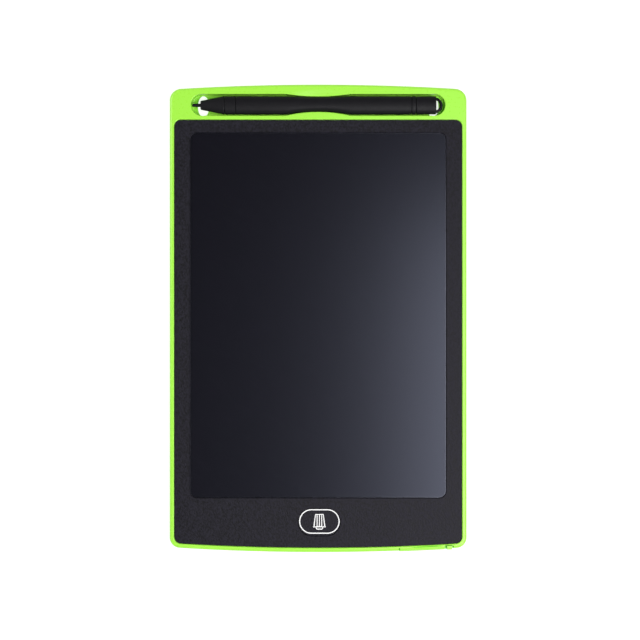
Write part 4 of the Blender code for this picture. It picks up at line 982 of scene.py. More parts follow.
def window_edge(panel):
    """The outline of the window in the panel."""
    lap, turned = panel.film_lap, panel.window_corner
    return Edge(FILM_HIGH.x - lap, FILM_HIGH.y - lap, FILM_LOW.y + lap, turned, turned)


def tiers(edge, levels, side=1):
    """The rings of a solid whose edge is drawn in by so much at each height.

    With a side of -1 it is widened by so much.
    """
    return [level(outline(inset(edge, side * by)), z) for z, by in levels]


def round_tiers(shape, length, width, levels, side=1):
    """The tiers of an ellipse or a stadium about the origin."""
    return [level(shape(length - 2 * side * by, width - 2 * side * by), z) for z, by in levels]


def body_form(body, proud=0.0):
    """The rings of the whole body's outside, or of one that stands a little prouder all round."""
    levels = wall_levels(0, body.thickness, body.back_fillet, body.front_fillet)
    return tiers(body_edge(body), [(z, drawn - proud) for z, drawn in levels])


def bow(body, x):
    """How far the body's bowed end has drawn back at a place beside its middle."""
    return body.edge_arc - (body.edge_arc**2 - x**2) ** 0.5


def outside(body):
    """Just beyond the body's lower end."""
    return -body.length / 2 - OVERRUN


def trough_ends(trough):
    """The trough's walls: its half length, inner wall and outer wall."""
    low, high = BARREL_LOW.y - trough.below, BARREL_HIGH.y + trough.above
    return TAIL_HIGH.x + trough.loop_room, low, high


def bulge(wall, depth, length, side):
    """The arc by which a long wall of the trough stands inwards.

    side is 1 on the outer wall and -1 on the inner.
    """
    half = length / 2
    radius = (half**2 + depth**2) / (2 * depth)
    turn = asin(half / radius)
    middle, y = -side * pi / 2, wall + side * (radius - depth)
    return arc(0, y, radius, middle + turn, middle - turn, BULGE_STEPS)


def trough_outline(trough, grown):
    """The stylus trough seen from the front, with a bulge in the middle of each long wall."""
    end, low, high = trough_ends(trough)
    top = high + grown
    bottom = low - grown
    middle = (top + bottom) / 2
    radius = (top - bottom) / 2
    reach = end + grown - radius
    right = arc(reach, middle, radius, -pi / 2, pi / 2, END_STEPS)
    left = arc(-reach, middle, radius, pi / 2, 3 * pi / 2, END_STEPS)
    upper = bulge(top, trough.upper_bulge, trough.bulge_length, 1)
    lower = bulge(bottom, trough.lower_bulge, trough.bulge_length, -1)
    return right + upper + left + lower


def cut_trough(shell, body, trough):
    """The stylus trough, its push-out holes and relief slots, and the dish for a fingertip."""
    top = body.thickness
    foot = [(z, -drawn) for z, drawn in foot_levels(trough.floor, trough.floor_fillet)]
    levels = foot + lip_levels(top, trough.lip)
    cut(shell, [level(trough_outline(trough, grown), z) for z, grown in levels])
    end, low, high = trough_ends(trough)
    width, length = trough.hole_width, high - low + trough.hole_bite - trough.hole_gap
    y = low - trough.hole_bite + length / 2
    levels = lip_levels(trough.floor, trough.hole_lip)
    for x in (trough.hole_inset - end, end - trough.hole_inset):
        bore = prism(ellipse(width, length), -OVERRUN, top + OVERRUN)
        cut(shell, shifted(bore, (x, y, 0)))
        cut(shell, shifted(round_tiers(ellipse, width, length, levels, side=-1), (x, y, 0)))
    half, reach = trough.bulge_length / 2, trough.relief_width / 2
    near, far = high - 2 * reach, high + trough.relief_depth
    bottom = trough.floor + trough.hole_lip
    for x in (-half, half):
        cut(shell, block(x - reach, x + reach, near, far, bottom, top - trough.lip / 2))
    length = trough.bulge_length + 2 * trough.dish_margin
    width = 2 * (trough.upper_bulge + trough.dish_reach)
    dish = bowl(length, width, trough.dish_depth, soft=True)
    cut(shell, shifted(dish, (0, high - trough.upper_bulge, top)))


def join_ribs(shell, body, panel, pocket, low):
    """The grid of low ribs that carries the support board."""
    inner = inset(pocket, body.ledge - JOIN)
    window = window_edge(panel)
    top = body.floor + body.rib_height
    half = body.rib_width / 2
    bottom = BOARD_LOW.y + body.rib_width
    for x in spread(-window.half_width, window.half_width, body.long_ribs - 1):
        join(shell, block(x - half, x + half, bottom, inner.top, low, top))
    reach = inner.half_width
    crossings = spread(bottom, window.top, body.cross_ribs - 1)
    join(shell, *[block(-reach, reach, y - half, y + half, low, top) for y in crossings])


def screw_places(circuit):
    """The three corners of the circuit board that are screwed down."""
    left, right = CIRCUIT_LOW.x + circuit.screw_inset, CIRCUIT_HIGH.x - circuit.screw_inset
    low, high = CIRCUIT_LOW.y + circuit.screw_inset, CIRCUIT_HIGH.y - circuit.screw_inset
    return (left, low), (right, low), (left, high)


def join_standoffs(shell, body, circuit, low):
    """The bored posts that the circuit board is screwed to."""
    top = CIRCUIT_LOW.z - body.layer_gap
    bore_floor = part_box("circuit_screw_1")[0].z - circuit.screw_gap
    post = prism(circle(circuit.standoff), low, top)
    bore = prism(circle(circuit.screw_shank + circuit.screw_gap), bore_floor, top + OVERRUN)
    for place in screw_places(circuit):
        join(shell, shifted(post, (*place, 0)))
        cut(shell, shifted(bore, (*place, 0)))


def drawer_half(drawer):
    """Half the width of the frame round the cell."""
    return (CELL_HIGH.x - CELL_LOW.x) / 2 + drawer.cell_gap + drawer.wall


def front_back(body, drawer):
    """The back of the drawer's front."""
    return body.rim + drawer.front_depth - body.length / 2


def front_right(drawer):
    """The right end of the drawer's front."""
    return LATCH_LOW.x - drawer.slit_left


def pad_end(drawer):
    """The right edge of the latch's pad."""
    return LATCH_LOW.x + drawer.pad_left + drawer.pad_right


def pad_back(body, trough, drawer):
    """The back of the latch's pad."""
    return pocket_edge(body, trough).bottom + drawer.pad_depth


def shelf_levels(drawer):
    """The underside and top of the shelf that closes the slit from below, just above the barb."""
    low = CELL_HIGH.z + drawer.shelf_room
    return low, low + drawer.shelf


def bay_walls(drawer):
    """The left and right sides of the drawer's bay, and its back end."""
    middle, finger = middle_of(CELL_LOW, CELL_HIGH)[0], LATCH_LOW.x + drawer.pad_left
    left = middle - drawer_half(drawer) - drawer.side_gap
    return left, finger + drawer.beam / 2 + drawer.side_gap, TRAY_HIGH.y + drawer.bay_end


def cut_battery_bay(shell, body, drawer, low):
    """The drawer's guides and opening, the lowered floor and the barb's groove."""
    left, right, end = bay_walls(drawer)
    front = front_back(body, drawer)
    tray_top = CELL_HIGH.z - body.layer_gap
    bay_floor = TRAY_LOW.z - drawer.bay_gap
    for inner, outer in ((left - drawer.guide, left), (right, right + drawer.guide)):
        join(shell, block(inner, outer, front - OVERRUN, TRAY_HIGH.y, low, tray_top))
    opening = TRAY_LOW.x - drawer.fit
    barb_side = LATCH_HIGH.x + drawer.barb_room
    near, far = outside(body), front + OVERRUN
    ledge, top = pad_end(drawer) + drawer.shelf_gap, TRAY_HIGH.z + drawer.fit
    cut(shell, block(opening, barb_side, near, far, bay_floor, shelf_levels(drawer)[0]))
    cut(shell, block(opening, ledge, near, far, bay_floor, top))
    cut(shell, block(left, right, front, end, bay_floor, body.floor + JOIN))
    barb_end = front + drawer.barb_gap + drawer.barb_length + drawer.beam_gap
    cut(shell, block(right - JOIN, barb_side, front, barb_end, bay_floor, tray_top + OVERRUN))


def cut_latch_slit(shell, body, trough, drawer):
    """The slit round the latch's pad."""
    left = front_right(drawer)
    half = (pad_end(drawer) + drawer.slit_right - left) / 2
    back = pad_back(body, trough, drawer) + drawer.slit_top
    turned = drawer.slit_corner
    edge = Edge(half, back, outside(body), turned, turned)
    levels = [(shelf_levels(drawer)[1], 0)] + lip_levels(body.thickness, drawer.slit_lip)
    cut(shell, shifted(tiers(edge, levels, side=-1), (left + half, 0, 0)))


def cut_nail_groove(shell, body, trough, drawer):
    """The groove for a fingernail in the rim over the drawer, slanted like the edge there."""
    x = front_right(drawer) - drawer.groove_gap - drawer.groove_length / 2
    y = bow(body, x) + pocket_edge(body, trough).bottom - drawer.groove_inset
    slope = x / body.edge_arc
    straight = bowl(drawer.groove_length, drawer.groove_width, drawer.groove_depth)
    groove = [[(px, py + px * slope, pz) for px, py, pz in ring] for ring in straight]
    cut(shell, shifted(groove, (x, y, body.thickness)))


def cut_seam_notch(shell, body, drawer):
    """The notch in the rim over the drawer's left end."""
    x = TRAY_LOW.x - drawer.fit / 2
    y = bow(body, x) + drawer.seam_inset - body.length / 2
    notch = bowl(drawer.seam_width, 2 * drawer.seam_width, drawer.seam_depth)
    cut(shell, shifted(notch, (x, y, body.thickness)))


def cut_lock_recess(shell, body, lock):
    """The recess in the back for the lock slider's pad, and the slot for its neck."""
    x, y = middle_of(SLIDER_LOW, SLIDER_HIGH)
    x += lock.travel / 2
    length, width = spans(SLIDER_LOW, SLIDER_HIGH)
    gaps = 2 * lock.recess_gap
    recess = stadium(length + lock.travel + gaps, width + gaps)
    cut(shell, prism(moved(recess, x, y), -OVERRUN, lock.recess_depth))
    half = (lock.neck_length + lock.travel) / 2 + lock.fit
    neck = lock.neck_width / 2 + lock.fit
    cut(shell, block(x - half, x + half, y - neck, y + neck, 0, body.floor + JOIN))


class TABLET_OT_rear_shell(bpy.types.Operator):
    """Build the lime shell with its trough, battery bay and inner ribs"""

    bl_idname = "tablet.rear_shell"
    bl_label = "Rear Shell"

    def execute(self, context):
        scene = context.scene
        body, trough, drawer = scene.tablet_body, scene.tablet_trough, scene.tablet_drawer
        shell = add_solid("moulded_shell", body_form(body))
        pocket = pocket_edge(body, trough)
        levels = lip_levels(body.thickness, body.rim_lip)
        cut(shell, tiers(pocket, [(PANEL_LOW.z - body.layer_gap, 0)] + levels, side=-1))
        inner = outline(inset(pocket, body.ledge))
        cut(shell, prism(inner, body.floor, body.thickness + OVERRUN))
        low = body.floor - JOIN
        join_ribs(shell, body, scene.tablet_panel, pocket, low)
        join_standoffs(shell, body, scene.tablet_circuit, low)
        cut_trough(shell, body, trough)
        cut_battery_bay(shell, body, drawer, low)
        cut_latch_slit(shell, body, trough, drawer)
        cut_nail_groove(shell, body, trough, drawer)
        cut_seam_notch(shell, body, drawer)
        cut_lock_recess(shell, body, scene.tablet_lock)
        complete(shell, "lime plastic", "tablet", "lime_plastic", "rear_shell")
        return {"FINISHED"}


class TABLET_OT_front_panel(bpy.types.Operator):
    """Build the textured front panel with its window and the button's hole"""

    bl_idname = "tablet.front_panel"
    bl_label = "Front Panel"

    def execute(self, context):
        scene = context.scene
        panel, button = scene.tablet_panel, scene.tablet_button
        top, under = PANEL_HIGH.z, PANEL_LOW.z - OVERRUN
        pocket = pocket_edge(scene.tablet_body, scene.tablet_trough)
        levels = [(PANEL_LOW.z, 0)] + top_levels(top, panel.edge_round)
        piece = add_solid("textured_panel", tiers(inset(pocket, panel.fit), levels))
        chamfer = panel.window_chamfer
        levels = ((under, 0), (top - chamfer, 0), (top, chamfer), (top + OVERRUN, chamfer))
        cut(piece, tiers(window_edge(panel), levels, side=-1))
        lap = 2 * (button.flange - button.gap)
        length, width = spans(CAP_LOW, CAP_HIGH)
        levels = [(under, 0)] + lip_levels(top, panel.edge_round)
        hole = round_tiers(stadium, length - lap, width - lap, levels, side=-1)
        cut(piece, shifted(hole, (*middle_of(CAP_LOW, CAP_HIGH), 0)))
        complete(piece, "textured black", "tablet", "black_texture", "front_panel")
        return {"FINISHED"}


class TABLET_OT_writing_film(bpy.types.Operator):
    """Build the writing film under the window, and the seal line just inside the window's edge"""

    bl_idname = "tablet.writing_film"
    bl_label = "Writing Film"

    def execute(self, context):
        panel = context.scene.tablet_panel
        window = window_edge(panel)
        levels = wall_levels(FILM_LOW.z, FILM_HIGH.z, panel.film_edge, panel.film_edge)
        film = add_solid("glossy_film", tiers(inset(window, -panel.film_lap), levels))
        complete(film, "writing film", "tablet", "screen_film", "writing_screen")
        path = level(outline(inset(window, panel.seal_width / 2)), FILM_HIGH.z)
        mesh = line_mesh("seal_path", path, closed=True)
        stroke, ink = panel.seal_width, panel.seal_height
        seal = grow("film_seal", mesh, "printed line", "seal", stroke=stroke, ink=ink)
        complete(seal, "seal", "tablet", "screen_film")
        return {"FINISHED"}


class TABLET_OT_erase_button(bpy.types.Operator):
    """Build the erase button's cap and the ring and bin printed on it"""

    bl_idname = "tablet.erase_button"
    bl_label = "Erase Button"

    def execute(self, context):
        button = context.scene.tablet_button
        x, y = middle_of(CAP_LOW, CAP_HIGH)
        length, width = spans(CAP_LOW, CAP_HIGH)
        flange_top = CAP_LOW.z + button.flange_thickness
        rings = prism(stadium(length, width), CAP_LOW.z, flange_top)
        levels = [(flange_top, 0)] + top_levels(CAP_HIGH.z, button.edge_round)
        flanges = 2 * button.flange
        rings += round_tiers(stadium, length - flanges, width - flanges, levels)
        cap = add_solid("button_cap", shifted(rings, (x, y, 0)))
        complete(cap, "textured black", "erase_button", "black_texture", "erase_button_cap")
        x, y = x + button.print_side, y + button.print_rise
        stroke = button.ring_stroke
        ring = stadium(button.ring_length - stroke, button.ring_width - stroke)
        self.print_lines("button_ring_print", button, stroke, [moved(ring, x, y)], closed=True)
        lid, base = y + button.lid_y, y + button.bin_base_y
        self.print_bin(button, x, lid, base, y + button.handle_y)
        self.print_slats(button, x, lid, base)
        return {"FINISHED"}

    def print_lines(self, name, button, stroke, lines, closed=False):
        """Prints lines of one width on the cap."""
        z = CAP_HIGH.z + button.ink / 2
        mesh = line_mesh(name + "_path", *[level(line, z) for line in lines], closed=closed)
        piece = grow(name, mesh, "printed line", "white print", stroke=stroke, ink=button.ink)
        complete(piece, "white print", "erase_button", None)

    def print_bin(self, button, x, lid, base, grip):
        """The bin stands on its lid, with the lid's handle below."""
        stroke, reach = button.bin_stroke, button.lid_length / 2
        mouth, foot = (button.bin_mouth - stroke) / 2, (button.bin_base - stroke) / 2
        wide, slim = (button.handle_width - stroke) / 2, (button.handle_end - stroke) / 2
        lines = [
            [(x - mouth, lid), (x - foot, base), (x + foot, base), (x + mouth, lid)],
            [(x - reach, lid), (x + reach, lid)],
            [(x - wide, lid), (x - slim, grip), (x + slim, grip), (x + wide, lid)],
        ]
        self.print_lines("bin_print", button, stroke, lines)

    def print_slats(self, button, x, lid, base):
        """The slats inside the bin."""
        half, low, high = button.slat_width / 2, CAP_HIGH.z, CAP_HIGH.z + button.ink
        edge = button.bin_stroke / 2
        slat = mesh_of("slat", [block(-half, half, lid + edge, base - edge, low, high)])
        slats = grow(
            "bin_slats", slat, "rows", "white print", columns=button.slats, rows=1,
            length=(button.slats - 1) * button.slat_step, width=0.0, centre=(x, 0, 0),
        )
        complete(slats, "white print", "erase_button", None)


class TABLET_OT_battery_drawer(bpy.types.Operator):
    """Build the battery drawer, its latch finger and the coin cell"""

    bl_idname = "tablet.battery_drawer"
    bl_label = "Battery Drawer"

    def execute(self, context):
        scene = context.scene
        body, trough, drawer = scene.tablet_body, scene.tablet_trough, scene.tablet_drawer
        self.build_tray(body, drawer)
        self.build_latch(body, trough, drawer)
        self.build_cell(drawer)
        return {"FINISHED"}

    def build_tray(self, body, drawer):
        """The drawer: a front that follows the body's edge, and a slotted frame round the cell."""
        x, y = middle_of(CELL_LOW, CELL_HIGH)
        low, back, top = TRAY_LOW.z, TRAY_HIGH.y, CELL_HIGH.z - body.layer_gap
        near, front, right = outside(body), front_back(body, drawer), front_right(drawer)
        tray = add_solid("drawer_tray", block(TRAY_LOW.x, right, near, front, low, TRAY_HIGH.z))
        join(tray, block(right - JOIN, LATCH_LOW.x, near, front, low, drawer.tray_shelf))
        combine(tray, "INTERSECT", body_form(body, drawer.proud))
        half = drawer_half(drawer)
        join(tray, block(x - half, x + half, front - JOIN, back, low, top))
        join(tray, block(x + half - JOIN, TRAY_HIGH.x, back - drawer.lug, back, low, top))
        seat = circle((CELL_HIGH.x - CELL_LOW.x) / 2 + drawer.cell_gap, CELL_SIDES)
        floor = low + drawer.tray_floor
        cut(tray, prism(moved(seat, x, y), floor, body.thickness))
        reach, slot = drawer.slot / 2, y - drawer.slot_reach
        cut(tray, block(x - reach, x + reach, slot, back + OVERRUN, low - OVERRUN, floor + JOIN))
        complete(tray, "lime plastic", "battery_drawer", "lime_plastic", "battery_tray")

    def build_latch(self, body, trough, drawer):
        """The springy finger beside the drawer, with the pad to push and the barb that holds."""
        near, back = outside(body), pad_back(body, trough, drawer)
        left, low = LATCH_LOW.x, LATCH_LOW.z
        pad = block(left, pad_end(drawer), near, back, low, LATCH_HIGH.z)
        latch = add_solid("latch_finger", pad)
        far, step = back + OVERRUN, drawer.tray_shelf + drawer.shelf_gap
        room = block(left - OVERRUN, left + drawer.pad_travel, near, far, low - OVERRUN, step)
        cut(latch, room)
        combine(latch, "INTERSECT", body_form(body, drawer.pad_proud))
        half, reach = drawer.beam / 2, back - JOIN
        x = left + drawer.pad_left
        y = TRAY_HIGH.y - drawer.lug - drawer.beam_gap - half
        start = front_back(body, drawer) + drawer.barb_gap
        middle, end = start + drawer.barb_length / 2, start + drawer.barb_length
        barb = x + half + drawer.barb_depth
        beam = [(x - half, reach), (x + half, reach), (x + half, start)]
        beam += [(barb, start), (barb, middle), (x + half, end)]
        beam += arc(x, y, half, 0, pi, END_STEPS)
        gap = body.layer_gap
        join(latch, prism(beam, low + gap / 2, CELL_HIGH.z - 2 * gap))
        complete(latch, "lime plastic", "drawer_latch", "lime_plastic", "battery_latch")

    def build_cell(self, drawer):
        """The coin cell, its narrower pole facing down."""
        x, y = middle_of(CELL_LOW, CELL_HIGH)
        radius, rim = (CELL_HIGH.x - CELL_LOW.x) / 2, drawer.cell_rim
        pole, step = radius - drawer.cell_step, CELL_LOW.z + drawer.tray_floor / 2
        reaches = [(CELL_LOW.z, pole - rim / 2), (CELL_LOW.z + rim / 4, pole), (step, pole)]
        reaches += [(z, radius - drawn) for z, drawn in wall_levels(step, CELL_HIGH.z, rim, rim)]
        rings = [level(circle(reach, CELL_SIDES), z) for z, reach in reaches]
        cell = add_solid("cell_can", shifted(rings, (x, y, 0)))
        steel_finish("cell steel", (0.62, 0.62, 0.60), (x, y, 0))
        complete(cell, "cell steel", "battery_drawer", "cell_steel", "coin_cell")


class TABLET_OT_stylus(bpy.types.Operator):
    """Build the stylus: nib, nose cone, waisted barrel and tail cap with its loop"""

    bl_idname = "tablet.stylus"
    bl_label = "Stylus"

    def execute(self, context):
        stylus = context.scene.tablet_stylus
        y, z = (BARREL_LOW.y + BARREL_HIGH.y) / 2, (BARREL_LOW.z + BARREL_HIGH.z) / 2
        self.centre = (0, y - stylus.seat, z)
        self.half_width = (BARREL_HIGH.y - BARREL_LOW.y) / 2
        self.half_height = (BARREL_HIGH.z - BARREL_LOW.z) / 2
        self.build_nose(stylus)
        self.build_nib(stylus)
        self.build_barrel(stylus, context.scene.tablet_trough)
        self.build_tail(stylus)
        return {"FINISHED"}

    def finish(self, piece, node):
        """Completes one of the stylus's mouldings."""
        complete(piece, "stylus plastic", "stylus", "stylus_black", node)

    def moulding(self, name, stylus, start, end, stations=(), **values):
        """A moulding between two places, whose spine has a point wherever its form changes."""
        places = {start, end, *stations}
        for turn in spread(0, pi / 2, LIP_STEPS):
            step = stylus.edge_round * (1 - cos(turn))
            places |= {start + step, end - step}
        spine = line_mesh(name + "_spine", [(x, 0, 0) for x in sorted(places)])
        absent = start - OFF_PIECE
        base = {
            "start": start,
            "end": end,
            "half_width": self.half_width,
            "half_height": self.half_height,
            "power": stylus.power,
            "tip_radius": self.half_height,
            "taper_start": absent,
            "taper_end": start - OVERRUN,
            "waist_half": self.half_width,
            "first_groove": absent,
            "second_groove": absent,
            "groove_width": stylus.groove_width,
            "groove_depth": stylus.groove_depth,
            "edge_round": stylus.edge_round,
            "sides": OVAL_SIDES,
            "centre": self.centre,
        }
        return grow(name, spine, "oval moulding", "stylus plastic", **{**base, **values})

    def oval(self, stylus, x, half_width, half_height):
        """A ring of the stylus's section, round its axis."""
        exponent, points = 2 / stylus.power, []
        for turn in spread(0, 2 * pi, OVAL_SIDES)[:-1]:
            across = copysign(abs(cos(turn)) ** exponent, cos(turn))
            up = copysign(abs(sin(turn)) ** exponent, sin(turn))
            points.append((x, half_width * across, half_height * up))
        return points

    def ovals(self, stylus, places):
        """Rings of the stylus's section on its axis, each from its place, half width and height."""
        return shifted([self.oval(stylus, *place) for place in places], self.centre)

    def spigot(self, stylus, start, end, gap=0.0):
        """The rings of a spigot, or of the socket for one, which is larger by a gap."""
        width, height = stylus.spigot_width / 2 + gap, stylus.spigot_height / 2 + gap
        return self.ovals(stylus, [(start, width, height), (end, width, height)])

    def build_barrel(self, stylus, trough):
        """The barrel, with two grooves, a waist in the middle and a socket in each end face."""
        start, end = BARREL_LOW.x, BARREL_HIGH.x
        low, high = trough_ends(trough)[1:]
        y, half = self.centre[1], trough.bulge_length / 2
        upper = self.half_width + y - (high - trough.upper_bulge) + stylus.waist_gap
        lower = self.half_width - y + (low + trough.lower_bulge) + stylus.waist_gap
        first, second = start + stylus.collar, end - stylus.band
        wide, deep = stylus.groove_width, stylus.groove_depth
        stations = spread(-half, half, 2 * BULGE_STEPS)
        for groove in (first, second):
            for step in (wide / 2, (wide - deep) / 2):
                stations += [groove - step, groove + step]
        piece = self.moulding(
            "waisted_barrel", stylus, start, end, stations, waist_half=half,
            upper_depth=upper, lower_depth=lower, first_groove=first, second_groove=second,
        )
        gap = stylus.spigot_gap
        reach = stylus.spigot + gap
        cut(piece, self.spigot(stylus, start - OVERRUN, start + reach, gap))
        cut(piece, self.spigot(stylus, end - reach, end + OVERRUN, gap))
        self.finish(piece, "stylus_barrel")

    def build_nose(self, stylus):
        """The nose cone, bored for the nib, with its spigot."""
        start, end = NOSE_LOW.x, BARREL_LOW.x - stylus.seam
        shoulder = end - stylus.shoulder
        piece = self.moulding(
            "nose_cone", stylus, start, end, [shoulder],
            tip_radius=stylus.front_radius, taper_start=start, taper_end=shoulder,
        )
        join(piece, self.spigot(stylus, end - JOIN, NOSE_HIGH.x))
        bore = (NIB_HIGH.z - NIB_LOW.z) / 2 + stylus.nib_gap
        ends = (start - OVERRUN, NIB_HIGH.x + stylus.nib_gap)
        cut(piece, self.ovals(stylus, [(x, bore, bore) for x in ends]))
        self.finish(piece, "stylus_nose")

    def build_nib(self, stylus):
        """The hard nib: a slim taper with a rounded tip, on a stem inside the nose."""
        radius, stem = stylus.nib_tip, (NIB_HIGH.z - NIB_LOW.z) / 2
        first = pi / 4 / FILLET_STEPS
        places = []
        for turn in spread(first, pi / 2, FILLET_STEPS):
            reach = radius * sin(turn)
            places.append((NIB_LOW.x + radius * (1 - cos(turn)), reach, reach))
        places += [(NOSE_LOW.x, stem, stem), (NIB_HIGH.x, stem, stem)]
        self.finish(add_solid("nib_tip", self.ovals(stylus, places)), "stylus_nib")

    def build_tail(self, stylus):
        """The tail cap with its lanyard loop and its spigot."""
        start, end = BARREL_HIGH.x + stylus.seam, TAIL_HIGH.x - stylus.loop_reach
        rounding = TAIL_ROUNDING * stylus.edge_round
        piece = self.moulding("tail_with_loop", stylus, start, end, edge_round=rounding)
        join(piece, self.spigot(stylus, TAIL_LOW.x, start + JOIN))
        bar = stylus.loop_bar / 2
        middle = stylus.loop_radius - bar
        x = TAIL_HIGH.x - stylus.loop_radius
        loop = []
        for turn in spread(-pi / 2, pi / 2, LOOP_STEPS):
            ring = []
            for around in spread(0, 2 * pi, LOOP_SIDES)[:-1]:
                reach = middle + bar * cos(around)
                ring.append((x + reach * cos(turn), reach * sin(turn), bar * sin(around)))
            loop.append(ring)
        join(piece, shifted(loop, self.centre))
        self.finish(piece, "stylus_tail_cap")


class TABLET_OT_lock(bpy.types.Operator):
    """Build the erase lock's slider with its grip ridges"""

    bl_idname = "tablet.lock"
    bl_label = "Erase Lock"

    def execute(self, context):
        lock = context.scene.tablet_lock
        x, y = middle_of(SLIDER_LOW, SLIDER_HIGH)
        length, width = spans(SLIDER_LOW, SLIDER_HIGH)
        back = SLIDER_LOW.z
        top = back + lock.pad_thickness
        piece = add_solid("lock_pad", prism(moved(stadium(length, width), x, y), back, top))
        half, neck = lock.neck_length / 2, lock.neck_width / 2
        join(piece, block(x - half, x + half, y - neck, y + neck, top - JOIN / 2, SLIDER_HIGH.z))
        complete(piece, "switch plastic", "lock", "switch_black", "lock_slider")
        reach, tall, across = lock.ridge_width / 2, lock.ridge_height, width * RIDGE_HALF
        ridge = mesh_of("ridge", [block(-reach, reach, -across, across, -tall, tall)])
        ridges = grow(
            "lock_ridges", ridge, "rows", "switch plastic", columns=lock.ridges, rows=1,
            length=length * RIDGE_ROW, width=0.0, centre=(x, y, back),
        )
        complete(ridges, "switch plastic", "lock", "switch_black")
        return {"FINISHED"}


class TABLET_OT_circuit(bpy.types.Operator):
    """Build the circuit board's screws and the chip's leads"""

    bl_idname = "tablet.circuit"
    bl_label = "Circuit"

    def execute(self, context):
        circuit = context.scene.tablet_circuit
        self.build_screws(circuit)
        self.build_leads(circuit)
        return {"FINISHED"}

    def build_screws(self, circuit):
        """The screws, with a cross in their heads."""
        shank, head, tall = circuit.screw_shank, circuit.screw_head, circuit.screw_height
        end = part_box("circuit_screw_1")[0].z
        seat = CIRCUIT_HIGH.z + circuit.head_gap
        top = seat + tall
        reaches = (
            (end, shank * SCREW_TIP), (end + shank / 2, shank), (seat, shank),
            (seat, head), (top - tall / 3, head), (top, head * HEAD_TOP),
        )
        screw = add_solid("screw_form", [level(circle(reach), z) for z, reach in reaches])
        long, slim = head * CROSS_ARM, circuit.slot_width / 2
        for x, y in ((long, slim), (slim, long)):
            cut(screw, block(-x, x, -y, y, top - tall / 2, top + OVERRUN))
        settle(screw)
        steel_finish("screw steel", (0.5, 0.5, 0.5))
        points = line_mesh("screw_points", level(screw_places(circuit), 0))
        screws = grow("board_screws", points, "copies on points", "screw steel", copy=screw)
        bpy.data.objects.remove(screw)
        complete(
            screws, "screw steel", "tablet", "screw_steel",
            "circuit_screw_1", "circuit_screw_2", "circuit_screw_3",
        )

    def build_leads(self, circuit):
        """The bent leads along both sides of the chip."""
        low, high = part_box("driver_chip")
        length, width = spans(low, high)
        half, reach, thick = circuit.lead_width / 2, circuit.lead_reach, circuit.lead_thickness
        shoulder = (high.z - low.z) / 2
        knee, foot = -reach * LEAD_KNEE, -reach * LEAD_FOOT
        upper = [(0, shoulder), (knee, shoulder), (foot, thick), (-reach, thick)]
        under = [(y + thick / 2, z - thick) for y, z in reversed(upper)]
        rings = [[(x, y, z) for y, z in upper + under] for x in (-half, half)]
        leads = grow(
            "chip_leads", mesh_of("lead", [rings]), "rows", "tinned", columns=circuit.leads, rows=2,
            length=length * LEAD_ROW, width=width, centre=(*middle_of(low, high), low.z),
        )
        complete(leads, "tinned", "tablet", "screw_steel")


METAL = {"metallic": 1.0, "variation": 0.85}

# Plain inner finishes: name, colour, roughness, size and depth of the grain, and what else differs
INNER_FINISHES = (
    ("tape", (0.75, 0.75, 0.72), 0.7, 0.0004, 1e-5, {}),
    ("backing sheet", (0.006, 0.006, 0.007), 0.8, 0.0006, 2e-5, {"variation": 1.5}),
    ("grey board", (0.32, 0.31, 0.29), 0.9, 0.0008, 5e-5, {"variation": 0.75, "patch": 0.004}),
    ("chip epoxy", (0.012, 0.012, 0.013), 0.5, 0.0001, 8e-6, {"variation": 1.5, "patch": 0.001}),
    ("ferrite", (0.055, 0.055, 0.058), 0.6, 0.00015, 2e-5, {"variation": 0.7, "patch": 0.0006}),
    ("switch plastic", (0.02, 0.02, 0.022), 0.5, 0.0002, 8e-6, {"variation": 1.3, "patch": 0.003}),
    ("plunger plastic", (0.4, 0.03, 0.02), 0.45, 0.0002, 1e-5, {}),
    ("cream plastic", (0.62, 0.56, 0.42), 0.55, 0.0003, 1e-5, {}),
    ("spring brass", (0.72, 0.52, 0.24), 0.3, 0.0002, 4e-6, {**METAL, "stretch": (0.2, 1, 1)}),
    ("tinned", (0.6, 0.6, 0.6), 0.3, 0.0002, 4e-6, {**METAL, "patch": 0.001}),
)

# The nodes that keep their own shape, and the finish of each
CAD_FINISHES = {
    "screen_tape": "tape",
    "backing_sheet": "backing sheet",
    "support_board": "grey board",
    "circuit_board": "circuit board",
    "driver_chip": "chip epoxy",
    "boost_coil": "ferrite",
    "capacitor_1": "capacitor_1",
    "capacitor_2": "capacitor_2",
    "screen_connector": "cream plastic",
    "screen_flex": "amber flex",
    "erase_switch_base": "switch plastic",
    "erase_switch_plunger": "plunger plastic",
    "positive_contact": "spring brass",
    "negative_contact": "spring brass",
    "lock_switch_base": "switch plastic",
    "lock_switch_lever": "cream plastic",
}


class TABLET_OT_finishes(bpy.types.Operator):
    """Make every finish, and give the inner pieces theirs"""

    bl_idname = "tablet.finishes"
    bl_label = "Finishes"

    def execute(self, context):
        colours = context.scene.tablet_colours
        outer = (lime_finish, panel_finish, film_finish, seal_finish, stylus_finish, ink_finish)
        for make in outer:
            make(colours)
        for name, colour, roughness, grain, depth, look in INNER_FINISHES:
            moulded(name, colour, roughness, grain, depth, **look)
        circuit_finish()
        flex_finish()
        for name in ("capacitor_1", "capacitor_2"):
            low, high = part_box(name)
            capacitor_finish(name, (low + high) / 2, (high.x - low.x) / 2)
        for node, finish in CAD_FINISHES.items():
            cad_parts[node].material_slots[0].material = bpy.data.materials[finish]
        return {"FINISHED"}


